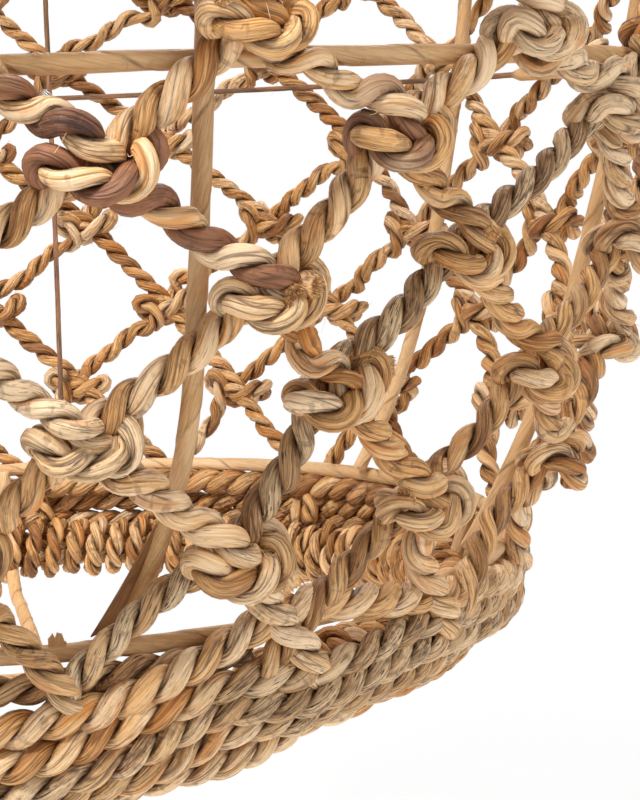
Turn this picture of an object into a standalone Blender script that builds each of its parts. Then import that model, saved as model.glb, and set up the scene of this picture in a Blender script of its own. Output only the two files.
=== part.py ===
"""Hanging egg chair: a knotted rope net on a frame of leaf-wrapped rods, hung from a spring snap hook.

Metres, +Z up. The origin is where the snap hook bears on whatever holds it, so the chair hangs below it.
The front opening faces -Y and the sitter's left is +X. Heights on the basket are counted from the base ring.
"""

import math

import bmesh
import bpy
from mathutils import Matrix, Vector

# Egg: radius of the frame rods' centres at a height above the base ring.
EGG_RADIUS = 0.378
WIDEST_HEIGHT = 0.560
LOWER_REACH = 0.785
UPPER_REACH = 0.520

# Rods and rope.
ROD_RADIUS = 0.00425
ROPE_RADIUS = 0.0067
GAP = 0.0003
ROD_SIDES = 8
ROPE_SIDES = 6
HOOP_STEP = 9
HOOP_END_ROOM = 1
ROD_POINTS = 18
TUBE_SPACING = 6

# Hoops and upright rods. Uprights run just inside the hoops, at corners of the hoops' polygons.
HOOP_HEIGHTS = {"lower_hoop": 0.254, "middle_hoop": 0.508, "upper_hoop": 0.760, "shoulder_hoop": 0.950}
UPRIGHT_ANGLES = {
    "upright_side_left": 9.0,
    "upright_back_left": 63.0,
    "upright_back_right": 117.0,
    "upright_side_right": 171.0,
    "upright_front_right": 216.0,
    "upright_front_left": 324.0,
}
UPRIGHT_INSET = 2 * ROD_RADIUS + GAP
UPRIGHT_LEANS = {"upright_side_left": -5.0, "upright_back_left": -7.0, "upright_back_right": 3.5}
LEAN_HEIGHT = 0.12
LEAN_INSET = 0.0013
UPRIGHT_END_ROOM = 0.004
UPRIGHT_END_DROP = 0.0035
CROWN_HEIGHT = 1.073
CROWN_RING_RADIUS = 0.058

# Front opening, an oval on the egg about the front.
FRONT_ANGLE = 270.0
OPENING_HALF_ANGLE = 50.0
OPENING_CENTRE = 0.595
OPENING_REACH = 0.305
RIM_POINTS = 24
RIM_STEP = 0.01
RIM_TURNS = 2
RIM_FIRST_TURN = math.radians(8)
RIM_TURN_STEP = math.radians(-75)

# Net: rows of knots, half a column out of step with each other.
NET_COLUMNS = 16
ROW_SPACING = 0.054
FIRST_ROW_HEIGHT = 0.005
STRAND_WIDTH = 0.014
NET_THICKNESS = 0.0125
STRAND_SAG = 0.0028
NET_OFFSET = ROD_RADIUS + GAP + STRAND_SAG + NET_THICKNESS / 2
SEAM_GAP = 0.0005
EDGE_SHARE = 1.047
EDGE_LIFT = 0.003
SNAP_FROM = 0.88
SNAP_TO = 1.19
# Knots tied off their even places, by row and half column: degrees round the egg and height.
KNOT_SHIFTS = {
    (1, -7): (1.2, -0.0108),
    (1, -5): (-2.4, 0.0019),
    (2, -8): (-0.3, -0.0063),
    (2, -6): (-3.3, 0.0084),
    (3, -7): (1.9, -0.0033),
    (3, -5): (-3.7, 0.0087),
    (4, -8): (1.1, -0.0018),
    (4, -6): (-0.3, 0.0049),
    (4, -4): (0.9, 0.0122),
    (5, -5): (0.1, -0.0060),
}
NET_TIERS = {"lower": (1, 6), "middle": (7, 12), "upper": (13, 18)}
GORES = {"back": 33, "back_side": 78, "side": 123, "front_side": 157}
MERGE_DISTANCE = 0.0005

# Rope windings: the band under the base ring and the cap round the crown.
BAND_LOOP_POINTS = 20
BAND_TURNS = 4
BAND_PITCH = 0.0139
BAND_TOP_RADIUS = 0.267
BAND_FOOT_RADIUS = 0.243
CAP_LOOP_POINTS = 16
CAP_TURNS = 4
CAP_INNER_RADIUS = 0.088
CAP_PITCH = 0.0150

# Crossed rods that carry the seat cushion: (radius, height) from the base ring to the middle.
SEAT_ROD_PATH = [(0.2560, 0.000), (0.2500, -0.020), (0.2380, -0.048), (0.2260, -0.066), (0.2050, -0.074)]
SEAT_ROD_MIDDLE = 0.08
SEAT_ROD_DROP = 2 * ROD_RADIUS + GAP

# Crown hardware: a plate on the crown ring, held by an eye bolt with a washer and a nut under it.
PLATE_RADIUS = 0.066
PLATE_THICKNESS = 0.005
BOLT_RADIUS = 0.005
BOLT_TIP = 0.004
BOLT_COLLAR_RADIUS = 0.0095
BOLT_COLLAR_HEIGHT = 0.003
BOLT_NECK_RADIUS = 0.0052
BOLT_NECK_DIP = 0.0007
BOLT_NECK_RISE = 0.0021
WASHER_RADIUS = 0.011
WASHER_THICKNESS = 0.002
NUT_RADIUS = 0.0092
NUT_HEIGHT = 0.008
CROWN_EYE_RADIUS = 0.012
EYE_BOLT_LENGTH = 0.009

# Snap hook with its boss and its sprung gate, depths under the origin.
HOOK_WIRE_RADIUS = 0.0045
HOOK_HALF_WIDTH = 0.018
HOOK_DEPTH = 0.062
BOSS_RADIUS = 0.009
BOSS_HEIGHT = 0.013
BOSS_RISE = 0.003
GATE_PIVOT_DEPTH = 0.048
GATE_TIP_DEPTH = 0.0175
GATE_TIP_GAP = 0.0006
GATE_RADIUS = 0.0042
GATE_STEM_RISE = 0.0061
GATE_PIN_RADIUS = 0.0015
GATE_PIN_HALF = 0.0052
CHEEK_RISE = 0.0034
KNUCKLE_RADIUS = 0.0032
TONGUE_HALF = 0.0016
TONGUE_REACH = 0.0030
TONGUE_BITE = 0.004
SLOT_HALF = 0.0020
SLOT_DEPTH = 0.008
SLOT_REACH = 0.010

# Swivel: washer, headed stud and closed eye.
RUNNING_GAP = 0.0003
SWIVEL_WASHER_THICKNESS = 0.0015
STUD_RADIUS = 0.0040
STUD_HEAD_RADIUS = 0.0075
STUD_HEAD_HEIGHT = 0.005
STUD_CHAMFER = 0.0015
STUD_COLLAR_RADIUS = 0.0065
STUD_COLLAR_HEIGHT = 0.004
STUD_FOOT_RADIUS = 0.0045
STUD_FOOT_HEIGHT = 0.007
WIRE_RADIUS = 0.004
EYE_RADIUS = 0.013
SWIVEL_EYE_DEPTH = 0.096

# Shackle, its pin and its nut.
SHACKLE_HALF_WIDTH = 0.012
SHACKLE_LOBE_RADIUS = 0.008
SHACKLE_LOBE_THICKNESS = 0.008
SHACKLE_PIN_DEPTH = 0.140
PIN_RADIUS = 0.004
PIN_REACH = 0.0235
PIN_HEAD_RADIUS = 0.0065
PIN_HEAD_THICKNESS = 0.004
PIN_NUT_RADIUS = 0.0075
PIN_NUT_THICKNESS = 0.0055

# Cutters run this far past the faces that they cut.
CUT_REACH = 0.01

# Depths of the joints' axes and of the base ring. The hanging eye is over the basket's centre of mass.
SHACKLE_SWING_DEPTH = SWIVEL_EYE_DEPTH + EYE_RADIUS
CROWN_EYE_DEPTH = SHACKLE_PIN_DEPTH - PIN_RADIUS - WIRE_RADIUS - GAP + CROWN_EYE_RADIUS
PLATE_LOW = CROWN_HEIGHT + ROD_RADIUS + GAP
PLATE_TOP = PLATE_LOW + PLATE_THICKNESS
BASE_DEPTH = CROWN_EYE_DEPTH + CROWN_EYE_RADIUS + EYE_BOLT_LENGTH + PLATE_TOP
EYE_SETBACK = 0.0144
BASKET_PLACE = Vector((0, -EYE_SETBACK, -BASE_DEPTH))

LEAF = ((0.60, 0.41, 0.22), 0.65, 0.0)
ROPE = ((0.55, 0.36, 0.18), 0.80, 0.0)
STEEL = ((0.62, 0.62, 0.62), 0.32, 1.0)


def egg_radius(height):
    """Radius of the rods' centres at a height over the base ring."""
    reach = LOWER_REACH if height < WIDEST_HEIGHT else UPPER_REACH
    return EGG_RADIUS * math.sqrt(max(1 - ((height - WIDEST_HEIGHT) / reach) ** 2, 0))


def egg_normal(spot):
    """Outward normal of the egg at a spot on it or near it."""
    reach = LOWER_REACH if spot.z < WIDEST_HEIGHT else UPPER_REACH
    across = 1 / EGG_RADIUS**2
    return Vector((spot.x * across, spot.y * across, (spot.z - WIDEST_HEIGHT) / reach**2)).normalized()


def egg_point(angle, height, outward=0.0):
    """Point on the egg at an angle in degrees, moved along the surface's outward normal."""
    spot = ring_point(angle, egg_radius(height), height)
    return spot + outward * egg_normal(spot)


def ring_point(angle, radius, height):
    """Point at an angle in degrees, a radius and a height."""
    return Matrix.Rotation(math.radians(angle), 3, "Z") @ Vector((radius, 0, height))


def opening_point(turn, share=1.0, outward=0.0):
    """Point on the opening's oval, or on the oval times share. Turn 0 is its foot, in radians."""
    angle = FRONT_ANGLE + share * OPENING_HALF_ANGLE * math.sin(turn)
    height = OPENING_CENTRE - share * OPENING_REACH * math.cos(turn)
    return egg_point(angle, height, outward)


def least_gap(points, radius):
    """Least clear gap of a tube to itself, between points at least TUBE_SPACING places from each other."""
    dense = []
    for start, end in zip(points, points[1:]):
        dense += [start, (start + end) / 2]
    dense.append(points[-1])
    least = min(
        (dense[i] - dense[k]).length
        for i in range(len(dense))
        for k in range(i + 2 * TUBE_SPACING, len(dense))
    )
    return least - 2 * radius


def collection(name):
    """New collection in the scene."""
    made = bpy.data.collections.new(name)
    bpy.context.scene.collection.children.link(made)
    return made


def material(name, look):
    """Principled material with a colour, a roughness and a metallic value."""
    colour, roughness, metallic = look
    made = bpy.data.materials.new(name)
    made.use_nodes = True
    shader = made.node_tree.nodes["Principled BSDF"]
    shader.inputs["Base Color"].default_value = (*colour, 1)
    shader.inputs["Roughness"].default_value = roughness
    shader.inputs["Metallic"].default_value = metallic
    made.diffuse_color = (*colour, 1)
    return made


def add_pivot(name, spot):
    """Empty on a joint's axis, which carries the parts that move about it."""
    pivot = bpy.data.objects.new(name, None)
    pivot.location = spot
    PARTS.objects.link(pivot)
    return pivot


def add_part(name, data, look, pivot=None, place=(0, 0, 0)):
    """Object of the chair with its own material, at a place, under a pivot empty where one is given."""
    part = bpy.data.objects.new(name, data)
    PARTS.objects.link(part)
    data.materials.append(material(name, look))
    part.parent = pivot
    part.location = Vector(place) - (pivot.location if pivot else Vector())
    return part


def add_cutter(name, mesh):
    """Object that only cuts or joins."""
    cutter = bpy.data.objects.new(name, mesh)
    CUTTERS.objects.link(cutter)
    cutter.hide_render = True
    cutter.display_type = "WIRE"
    return cutter


def combine(part, cutter, operation):
    """Boolean modifier of a part with a cutter."""
    step = part.modifiers.new(cutter.name, "BOOLEAN")
    step.object = cutter
    step.operation = operation
    step.solver = "EXACT"


def tube_curve(name, points, radius, sides, closed=False):
    """Curve data of a round tube along points."""
    curve = bpy.data.curves.new(name, "CURVE")
    curve.dimensions = "3D"
    curve.bevel_depth = radius
    curve.bevel_resolution = (sides - 4) // 2
    curve.use_fill_caps = not closed
    curve.twist_mode = "MINIMUM"
    spline = curve.splines.new("POLY")
    spline.points.add(len(points) - 1)
    for spot, point in zip(spline.points, points):
        spot.co = (*point, 1)
    spline.use_cyclic_u = closed
    return curve


def tube_mesh(name, points, radius, sides):
    """Closed mesh of a round tube with flat ends."""
    curve = tube_curve(name, points, radius, sides)
    holder = bpy.data.objects.new(name, curve)
    bpy.context.scene.collection.objects.link(holder)
    seen = holder.evaluated_get(bpy.context.evaluated_depsgraph_get())
    mesh = bpy.data.meshes.new_from_object(seen)
    bpy.data.objects.remove(holder)
    bpy.data.curves.remove(curve)
    shape = bmesh.new()
    shape.from_mesh(mesh)
    bmesh.ops.remove_doubles(shape, verts=shape.verts, dist=0.00001)
    shape.to_mesh(mesh)
    shape.free()
    return mesh


def cylinder_mesh(name, radius, low, high, axis="Z", sides=16, centre=(0, 0, 0)):
    """Cylinder from low to high along an axis through a centre."""
    turns = {"X": Matrix.Rotation(math.pi / 2, 4, "Y"), "Y": Matrix.Rotation(-math.pi / 2, 4, "X")}
    middle = Matrix.Translation((0, 0, (low + high) / 2))
    place = Matrix.Translation(centre) @ turns.get(axis, Matrix.Identity(4)) @ middle
    mesh = bpy.data.meshes.new(name)
    shape = bmesh.new()
    bmesh.ops.create_cone(
        shape,
        cap_ends=True,
        segments=sides,
        radius1=radius,
        radius2=radius,
        depth=high - low,
        matrix=place,
    )
    shape.to_mesh(mesh)
    shape.free()
    return mesh


def box_mesh(name, low, high):
    """Box between two corners."""
    low, high = Vector(low), Vector(high)
    size = Matrix.Diagonal((*(high - low), 1))
    mesh = bpy.data.meshes.new(name)
    shape = bmesh.new()
    bmesh.ops.create_cube(shape, size=1, matrix=Matrix.Translation((low + high) / 2) @ size)
    shape.to_mesh(mesh)
    shape.free()
    return mesh


def turned_part(name, profile, look, pivot=None, steps=20):
    """Solid of revolution about Z from a (radius, height) profile that runs down its outer side."""
    mesh = bpy.data.meshes.new(name)
    edges = [(i, i + 1) for i in range(len(profile) - 1)]
    mesh.from_pydata([(radius, 0, height) for radius, height in profile], edges, [])
    part = add_part(name, mesh, look, pivot)
    screw = part.modifiers.new("turn", "SCREW")
    screw.steps = steps
    screw.render_steps = steps
    screw.use_merge_vertices = True
    screw.merge_threshold = 0.00001
    return part


def ring_profile(inner, outer, low, high):
    """Profile of a flat ring with a bore."""
    return [(inner, high), (outer, high), (outer, low), (inner, low), (inner, high)]


def eye_mesh(name, radius, wire, centre):
    """Round eye of wire in the YZ plane, with its facets turned off the planes of symmetry."""
    mesh = bpy.data.meshes.new(name)
    shape = bmesh.new()
    start = Matrix.Translation(centre) @ Matrix.Rotation(math.radians(7), 4, "X")
    start @= Matrix.Translation((0, radius, 0)) @ Matrix.Rotation(math.radians(14), 4, "Z")
    section = bmesh.ops.create_circle(shape, segments=8, radius=wire, matrix=start)
    bmesh.ops.spin(
        shape,
        geom=list({edge for vert in section["verts"] for edge in vert.link_edges}),
        cent=centre,
        axis=(1, 0, 0),
        angle=math.tau,
        steps=20,
        use_merge=True,
    )
    bmesh.ops.remove_doubles(shape, verts=shape.verts, dist=0.00001)
    bmesh.ops.recalc_face_normals(shape, faces=shape.faces)
    shape.to_mesh(mesh)
    shape.free()
    return mesh


def build_hook():
    """Snap hook, its sprung gate and the gate's pin. The hook lies in the XZ plane."""
    half = HOOK_HALF_WIDTH
    top = HOOK_WIRE_RADIUS - half
    foot = -HOOK_DEPTH - HOOK_WIRE_RADIUS + half
    points = [Vector((half, 0, -GATE_PIVOT_DEPTH + CHEEK_RISE))]
    points += [Vector((half * math.cos(a), 0, foot - half * math.sin(a))) for a in arc_angles(0, 180, 10)]
    points += [Vector((-half * math.cos(a), 0, top + half * math.sin(a))) for a in arc_angles(0, 180, 10)]
    points.append(Vector((half, 0, -GATE_TIP_DEPTH + GATE_TIP_GAP)))
    hook = add_part("snap_hook", tube_mesh("snap_hook", points, HOOK_WIRE_RADIUS, 10), STEEL)
    boss_low = -HOOK_DEPTH - BOSS_HEIGHT
    boss_top = -HOOK_DEPTH + BOSS_RISE
    boss = add_cutter("hook_boss", cylinder_mesh("hook_boss", BOSS_RADIUS, boss_low, boss_top))
    combine(hook, boss, "UNION")
    bore_radius = STUD_RADIUS + RUNNING_GAP
    bore = cylinder_mesh("hook_bore", bore_radius, boss_low - CUT_REACH, boss_top + CUT_REACH)
    combine(hook, add_cutter("hook_bore", bore), "DIFFERENCE")
    slot = box_mesh(
        "gate_slot",
        (half - SLOT_REACH, -SLOT_HALF, -GATE_PIVOT_DEPTH - SLOT_DEPTH),
        (half + SLOT_REACH, SLOT_HALF, -GATE_PIVOT_DEPTH + CUT_REACH),
    )
    combine(hook, add_cutter("gate_slot", slot), "DIFFERENCE")
    pivot = (half, 0, -GATE_PIVOT_DEPTH)
    bore_radius = GATE_PIN_RADIUS + GAP
    hole = cylinder_mesh("gate_pin_hole", bore_radius, -CUT_REACH, CUT_REACH, "Y", 12, pivot)
    combine(hook, add_cutter("gate_pin_hole", hole), "DIFFERENCE")
    pin = cylinder_mesh("gate_pin", GATE_PIN_RADIUS, -GATE_PIN_HALF, GATE_PIN_HALF, "Y", 12, pivot)
    add_part("gate_pin", pin, STEEL)

    gate_foot = -GATE_PIVOT_DEPTH + GATE_STEM_RISE
    stem = cylinder_mesh("snap_gate", GATE_RADIUS, gate_foot, -GATE_TIP_DEPTH, "Z", 12, (half, 0, 0))
    gate = add_part("snap_gate", stem, STEEL)
    tongue = box_mesh(
        "gate_tongue",
        (half - TONGUE_REACH, -TONGUE_HALF, -GATE_PIVOT_DEPTH),
        (half + TONGUE_REACH, TONGUE_HALF, gate_foot + TONGUE_BITE),
    )
    combine(gate, add_cutter("gate_tongue", tongue), "UNION")
    knuckle = cylinder_mesh("gate_knuckle", KNUCKLE_RADIUS, -TONGUE_HALF, TONGUE_HALF, "Y", 16, pivot)
    combine(gate, add_cutter("gate_knuckle", knuckle), "UNION")
    eye = cylinder_mesh("gate_eye", bore_radius, -CUT_REACH, CUT_REACH, "Y", 12, pivot)
    combine(gate, add_cutter("gate_eye", eye), "DIFFERENCE")
    origin_to(gate, pivot)


def arc_angles(first, last, count):
    """Evenly spaced angles in radians, from degrees."""
    return [math.radians(first + (last - first) * i / (count - 1)) for i in range(count)]


def origin_to(part, spot):
    """Move a part's origin to a spot, with its shape left in place."""
    part.data.transform(Matrix.Translation(-Vector(spot)))
    part.location = spot


def build_swivel():
    """Swivel: a headed stud that turns in the hook's boss, with a closed eye under it."""
    seat = -HOOK_DEPTH + BOSS_RISE + RUNNING_GAP
    washer_top = seat + SWIVEL_WASHER_THICKNESS
    washer = ring_profile(STUD_RADIUS + RUNNING_GAP, STUD_HEAD_RADIUS, seat, washer_top)
    turned_part("swivel_washer", washer, STEEL)
    head_low = washer_top + RUNNING_GAP
    head_top = head_low + STUD_HEAD_HEIGHT
    neck_low = -HOOK_DEPTH - BOSS_HEIGHT - RUNNING_GAP
    profile = [
        (0, head_top),
        (STUD_HEAD_RADIUS - STUD_CHAMFER, head_top),
        (STUD_HEAD_RADIUS, head_top - STUD_CHAMFER),
        (STUD_HEAD_RADIUS, head_low),
        (STUD_RADIUS, head_low),
        (STUD_RADIUS, neck_low),
        (STUD_COLLAR_RADIUS, neck_low),
        (STUD_COLLAR_RADIUS, neck_low - STUD_COLLAR_HEIGHT),
        (STUD_FOOT_RADIUS, neck_low - STUD_FOOT_HEIGHT),
        (0, neck_low - STUD_FOOT_HEIGHT),
    ]
    stud = turned_part("swivel_stud", profile, STEEL)
    eye = eye_mesh("swivel_eye", EYE_RADIUS, WIRE_RADIUS, (0, 0, -SWIVEL_EYE_DEPTH))
    combine(stud, add_cutter("swivel_eye", eye), "UNION")


def build_shackle():
    """Shackle with its pin and nut. The pin runs along X."""
    pivot = add_pivot("shackle_pivot", (0, 0, -SHACKLE_SWING_DEPTH))
    half = SHACKLE_HALF_WIDTH
    bow_top = 2 * WIRE_RADIUS + GAP - SHACKLE_SWING_DEPTH
    middle = bow_top - half
    points = [Vector((half, 0, -SHACKLE_PIN_DEPTH))]
    points += [Vector((half * math.cos(a), 0, middle + half * math.sin(a))) for a in arc_angles(0, 180, 13)]
    points.append(Vector((-half, 0, -SHACKLE_PIN_DEPTH)))
    shackle = add_part("shackle", tube_mesh("shackle", points, WIRE_RADIUS, 10), STEEL, pivot)
    pin_spot = (0, 0, -SHACKLE_PIN_DEPTH)
    inner = half - SHACKLE_LOBE_THICKNESS / 2
    outer = half + SHACKLE_LOBE_THICKNESS / 2
    for side, (low, high) in {"left": (inner, outer), "right": (-outer, -inner)}.items():
        lobe = cylinder_mesh("shackle_lobe_" + side, SHACKLE_LOBE_RADIUS, low, high, "X", 20, pin_spot)
        combine(shackle, add_cutter("shackle_lobe_" + side, lobe), "UNION")
    reach = PIN_REACH + CUT_REACH
    bore = cylinder_mesh("shackle_bore", PIN_RADIUS + GAP, -reach, reach, "X", 16, pin_spot)
    combine(shackle, add_cutter("shackle_bore", bore), "DIFFERENCE")
    head = outer + GAP
    in_head = head + PIN_HEAD_THICKNESS / 2
    shank = cylinder_mesh("shackle_pin", PIN_RADIUS, -PIN_REACH, in_head, "X", 16, pin_spot)
    pin = add_part("shackle_pin", shank, STEEL, pivot)
    cap = cylinder_mesh("pin_head", PIN_HEAD_RADIUS, head, head + PIN_HEAD_THICKNESS, "X", 20, pin_spot)
    combine(pin, add_cutter("pin_head", cap), "UNION")
    nut = cylinder_mesh("shackle_nut", PIN_NUT_RADIUS, -head - PIN_NUT_THICKNESS, -head, "X", 6, pin_spot)
    nut_part = add_part("shackle_nut", nut, STEEL, pivot)
    thread = cylinder_mesh("nut_thread", PIN_RADIUS + GAP, -reach, 0, "X", 16, pin_spot)
    combine(nut_part, add_cutter("nut_thread", thread), "DIFFERENCE")


def build_crown(basket):
    """Crown ring, plate, and the eye bolt that the chair hangs by."""
    centres = [ring_point(360 * i / RIM_POINTS, CROWN_RING_RADIUS, CROWN_HEIGHT) for i in range(RIM_POINTS)]
    ring = tube_curve("crown_ring", centres, ROD_RADIUS, ROD_SIDES, True)
    add_part("crown_ring", ring, LEAF, basket, BASKET_PLACE)
    plate_mesh = cylinder_mesh("crown_plate", PLATE_RADIUS, PLATE_LOW, PLATE_TOP, "Z", 32)
    plate = add_part("crown_plate", plate_mesh, STEEL, basket, BASKET_PLACE)
    under_plate = PLATE_LOW - BASE_DEPTH
    plate_face = PLATE_TOP - BASE_DEPTH
    bolt_hole = cylinder_mesh("bolt_hole", BOLT_RADIUS + GAP, under_plate - CUT_REACH, plate_face + CUT_REACH)
    combine(plate, add_cutter("bolt_hole", bolt_hole), "DIFFERENCE")

    eye_foot = -CROWN_EYE_DEPTH - CROWN_EYE_RADIUS
    collar_low = plate_face + GAP
    washer_top = under_plate - GAP
    washer_low = washer_top - WASHER_THICKNESS
    nut_top = washer_low - GAP
    nut_low = nut_top - NUT_HEIGHT
    bolt_low = nut_low - BOLT_TIP
    profile = [
        (0, eye_foot + BOLT_NECK_RISE),
        (BOLT_NECK_RADIUS, eye_foot - BOLT_NECK_DIP),
        (BOLT_COLLAR_RADIUS, collar_low + BOLT_COLLAR_HEIGHT),
        (BOLT_COLLAR_RADIUS, collar_low),
        (BOLT_RADIUS, collar_low),
        (BOLT_RADIUS, bolt_low + BOLT_RADIUS / 5),
        (BOLT_RADIUS * 4 / 5, bolt_low),
        (0, bolt_low),
    ]
    bolt = turned_part("crown_eye_bolt", profile, STEEL, basket)
    eye = eye_mesh("crown_eye", CROWN_EYE_RADIUS, WIRE_RADIUS, (0, 0, -CROWN_EYE_DEPTH))
    combine(bolt, add_cutter("crown_eye", eye), "UNION")
    washer = ring_profile(BOLT_RADIUS + GAP, WASHER_RADIUS, washer_low, washer_top)
    turned_part("crown_washer", washer, STEEL, basket)
    nut_mesh = cylinder_mesh("crown_nut", NUT_RADIUS, nut_low, nut_top, "Z", 6)
    nut = add_part("crown_nut", nut_mesh, STEEL, basket)
    thread = cylinder_mesh("crown_thread", BOLT_RADIUS + GAP, nut_low - CUT_REACH, nut_top + CUT_REACH)
    combine(nut, add_cutter("crown_thread", thread), "DIFFERENCE")


def build_uprights(basket):
    """Six upright rods from inside the base ring to the crown ring."""
    end = CROWN_RING_RADIUS + 2 * ROD_RADIUS + GAP
    for name, angle in UPRIGHT_ANGLES.items():
        lean = UPRIGHT_LEANS.get(name, 0)
        points = []
        for i in range(ROD_POINTS):
            height = CROWN_HEIGHT * math.sin(math.pi / 2 * i / (ROD_POINTS - 1))
            share = max(1 - height / LEAN_HEIGHT, 0) ** 2
            inset = UPRIGHT_INSET + (LEAN_INSET * share if lean else 0)
            points.append(egg_point(angle + lean * share, height, -inset))
        points = [point for point in points if point.xy.length > end + UPRIGHT_END_ROOM]
        points.append(ring_point(angle, end - ROD_RADIUS, CROWN_HEIGHT - UPRIGHT_END_DROP))
        add_part(name, tube_curve(name, points, ROD_RADIUS, ROD_SIDES), LEAF, basket, BASKET_PLACE)


def hoop_end(height):
    """Angle from the front at which a hoop meets the rim rod, or None where it runs clear of it."""
    rise = (OPENING_CENTRE - height) / OPENING_REACH
    if abs(rise) >= 1:
        return None
    turn = math.acos(rise)
    along = Vector(
        (
            math.radians(OPENING_HALF_ANGLE) * math.cos(turn) * egg_radius(height),
            OPENING_REACH * math.sin(turn),
        )
    )
    slant = abs(along.y) / along.length
    clear = (2 * ROD_RADIUS + GAP) / slant
    return OPENING_HALF_ANGLE * math.sin(turn) + math.degrees(clear / egg_radius(height))


def build_hoops(basket):
    """Level hoops: closed where they clear the opening, otherwise from rim to rim round the back."""
    for name, height in {"base_ring": 0.0, **HOOP_HEIGHTS}.items():
        end = hoop_end(height)
        angles = [FRONT_ANGLE + HOOP_STEP * i for i in range(360 // HOOP_STEP)]
        if end is not None:
            low = FRONT_ANGLE + end
            high = FRONT_ANGLE + 360 - end
            inner = [angle for angle in angles if low + HOOP_END_ROOM < angle < high - HOOP_END_ROOM]
            angles = [low, *inner, high]
        points = [egg_point(angle, height) for angle in angles]
        hoop = tube_curve(name, points, ROD_RADIUS, ROD_SIDES, end is None)
        add_part(name, hoop, LEAF, basket, BASKET_PLACE)


def add_winding(name, points, basket):
    """Unbroken rope along points, with its least gap to itself measured."""
    print(name + ": least gap to itself", round(1000 * least_gap(points, ROPE_RADIUS), 2), "mm")
    add_part(name, tube_curve(name, points, ROPE_RADIUS, ROPE_SIDES), ROPE, basket, BASKET_PLACE)


def build_rim(basket):
    """Rim rod round the front opening and the rope wound along it."""
    turns = [math.tau * i / RIM_POINTS for i in range(RIM_POINTS)]
    rod = [opening_point(turn) for turn in turns]
    rim_rod = tube_curve("rim_rod", rod, ROD_RADIUS, ROD_SIDES, True)
    add_part("rim_rod", rim_rod, LEAF, basket, BASKET_PLACE)
    reach = ROD_RADIUS + ROPE_RADIUS + 2 * GAP
    rope = []
    for i in range(RIM_TURNS * RIM_POINTS + 1):
        turn = math.tau * i / RIM_POINTS
        middle = opening_point(turn)
        along = (opening_point(turn + RIM_STEP) - opening_point(turn - RIM_STEP)).normalized()
        outward = (opening_point(turn, 1, RIM_STEP) - middle).normalized()
        to_net = (opening_point(turn, 1 + RIM_STEP) - middle).normalized()
        to_net = (to_net - along * to_net.dot(along)).normalized()
        roll = RIM_FIRST_TURN + RIM_TURN_STEP * i / RIM_POINTS
        rope.append(middle + reach * (outward * math.cos(roll) + to_net * math.sin(roll)))
    add_winding("rim_rope", rope, basket)


def build_band(basket):
    """Rope wound round and round under the base ring."""
    points = []
    count = BAND_TURNS * BAND_LOOP_POINTS
    top = -ROD_RADIUS - GAP - ROPE_RADIUS
    for i in range(count + 1):
        share = i / count
        radius = BAND_TOP_RADIUS + (BAND_FOOT_RADIUS - BAND_TOP_RADIUS) * share
        height = top - BAND_PITCH * BAND_TURNS * share
        points.append(ring_point(90 + 360 * i / BAND_LOOP_POINTS, radius, height))
    add_winding("base_band", points, basket)


def height_at(radius):
    """Height on the upper egg where the rods' centres are at a radius."""
    return WIDEST_HEIGHT + UPPER_REACH * math.sqrt(1 - (radius / EGG_RADIUS) ** 2)


def build_cap(basket):
    """Rope coiled over the uprights round the crown."""
    points = []
    for i in range(CAP_TURNS * CAP_LOOP_POINTS + 1):
        radius = CAP_INNER_RADIUS + CAP_PITCH * i / CAP_LOOP_POINTS
        spot = egg_point(0, height_at(radius), ROPE_RADIUS + GAP)
        points.append(ring_point(90 + 360 * i / CAP_LOOP_POINTS, spot.x, spot.z))
    add_winding("crown_cap", points, basket)


def build_seat_rods(basket):
    """Two crossed rods under the base, one just over the other, that carry the seat cushion."""
    end_radius = SEAT_ROD_PATH[0][0]
    for name, angle, drop in (("seat_rod_across", 0, 0), ("seat_rod_lengthwise", 90, SEAT_ROD_DROP)):
        side = [(radius, height - drop * (1 - radius / end_radius)) for radius, height in SEAT_ROD_PATH]
        middle_height = SEAT_ROD_PATH[-1][1] - drop
        path = side + [(SEAT_ROD_MIDDLE, middle_height), (0, middle_height)]
        points = [ring_point(angle, radius, height) for radius, height in path]
        points += [ring_point(angle + 180, radius, height) for radius, height in reversed(path[:-1])]
        add_part(name, tube_curve(name, points, ROD_RADIUS, ROD_SIDES), LEAF, basket, BASKET_PLACE)


def knot(row, half_column):
    """Knot of the net as (place, on_edge), or None inside the opening. Half columns count from the back."""
    from_front = 180 - abs(half_column) * 180 / NET_COLUMNS
    height = FIRST_ROW_HEIGHT + row * ROW_SPACING
    share = math.hypot(from_front / OPENING_HALF_ANGLE, (height - OPENING_CENTRE) / OPENING_REACH)
    if share < SNAP_FROM:
        return None
    on_edge = share < SNAP_TO
    if on_edge:
        from_front *= EDGE_SHARE / share
        height = OPENING_CENTRE + (height - OPENING_CENTRE) * EDGE_SHARE / share
    angle = 90 + math.copysign(180 - from_front, half_column)
    outward = NET_OFFSET + EDGE_LIFT if on_edge else NET_OFFSET
    round_about, upward = KNOT_SHIFTS.get((row, half_column), (0, 0))
    return egg_point(angle + round_about, height + upward, outward), on_edge


def gore_of(half_column, tier):
    """Name of the upright strip of net that a mesh belongs to, from its middle's half column."""
    from_back = abs(half_column) * 180 / NET_COLUMNS
    side = "left" if half_column < 0 else "right"
    if from_back < GORES["back"]:
        return "back"
    if from_back < GORES["back_side"]:
        return "back_" + side
    if from_back < GORES["side"] or tier == "middle":
        return "side_" + side
    if from_back < GORES["front_side"]:
        return "front_" + side
    return "front"


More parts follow.
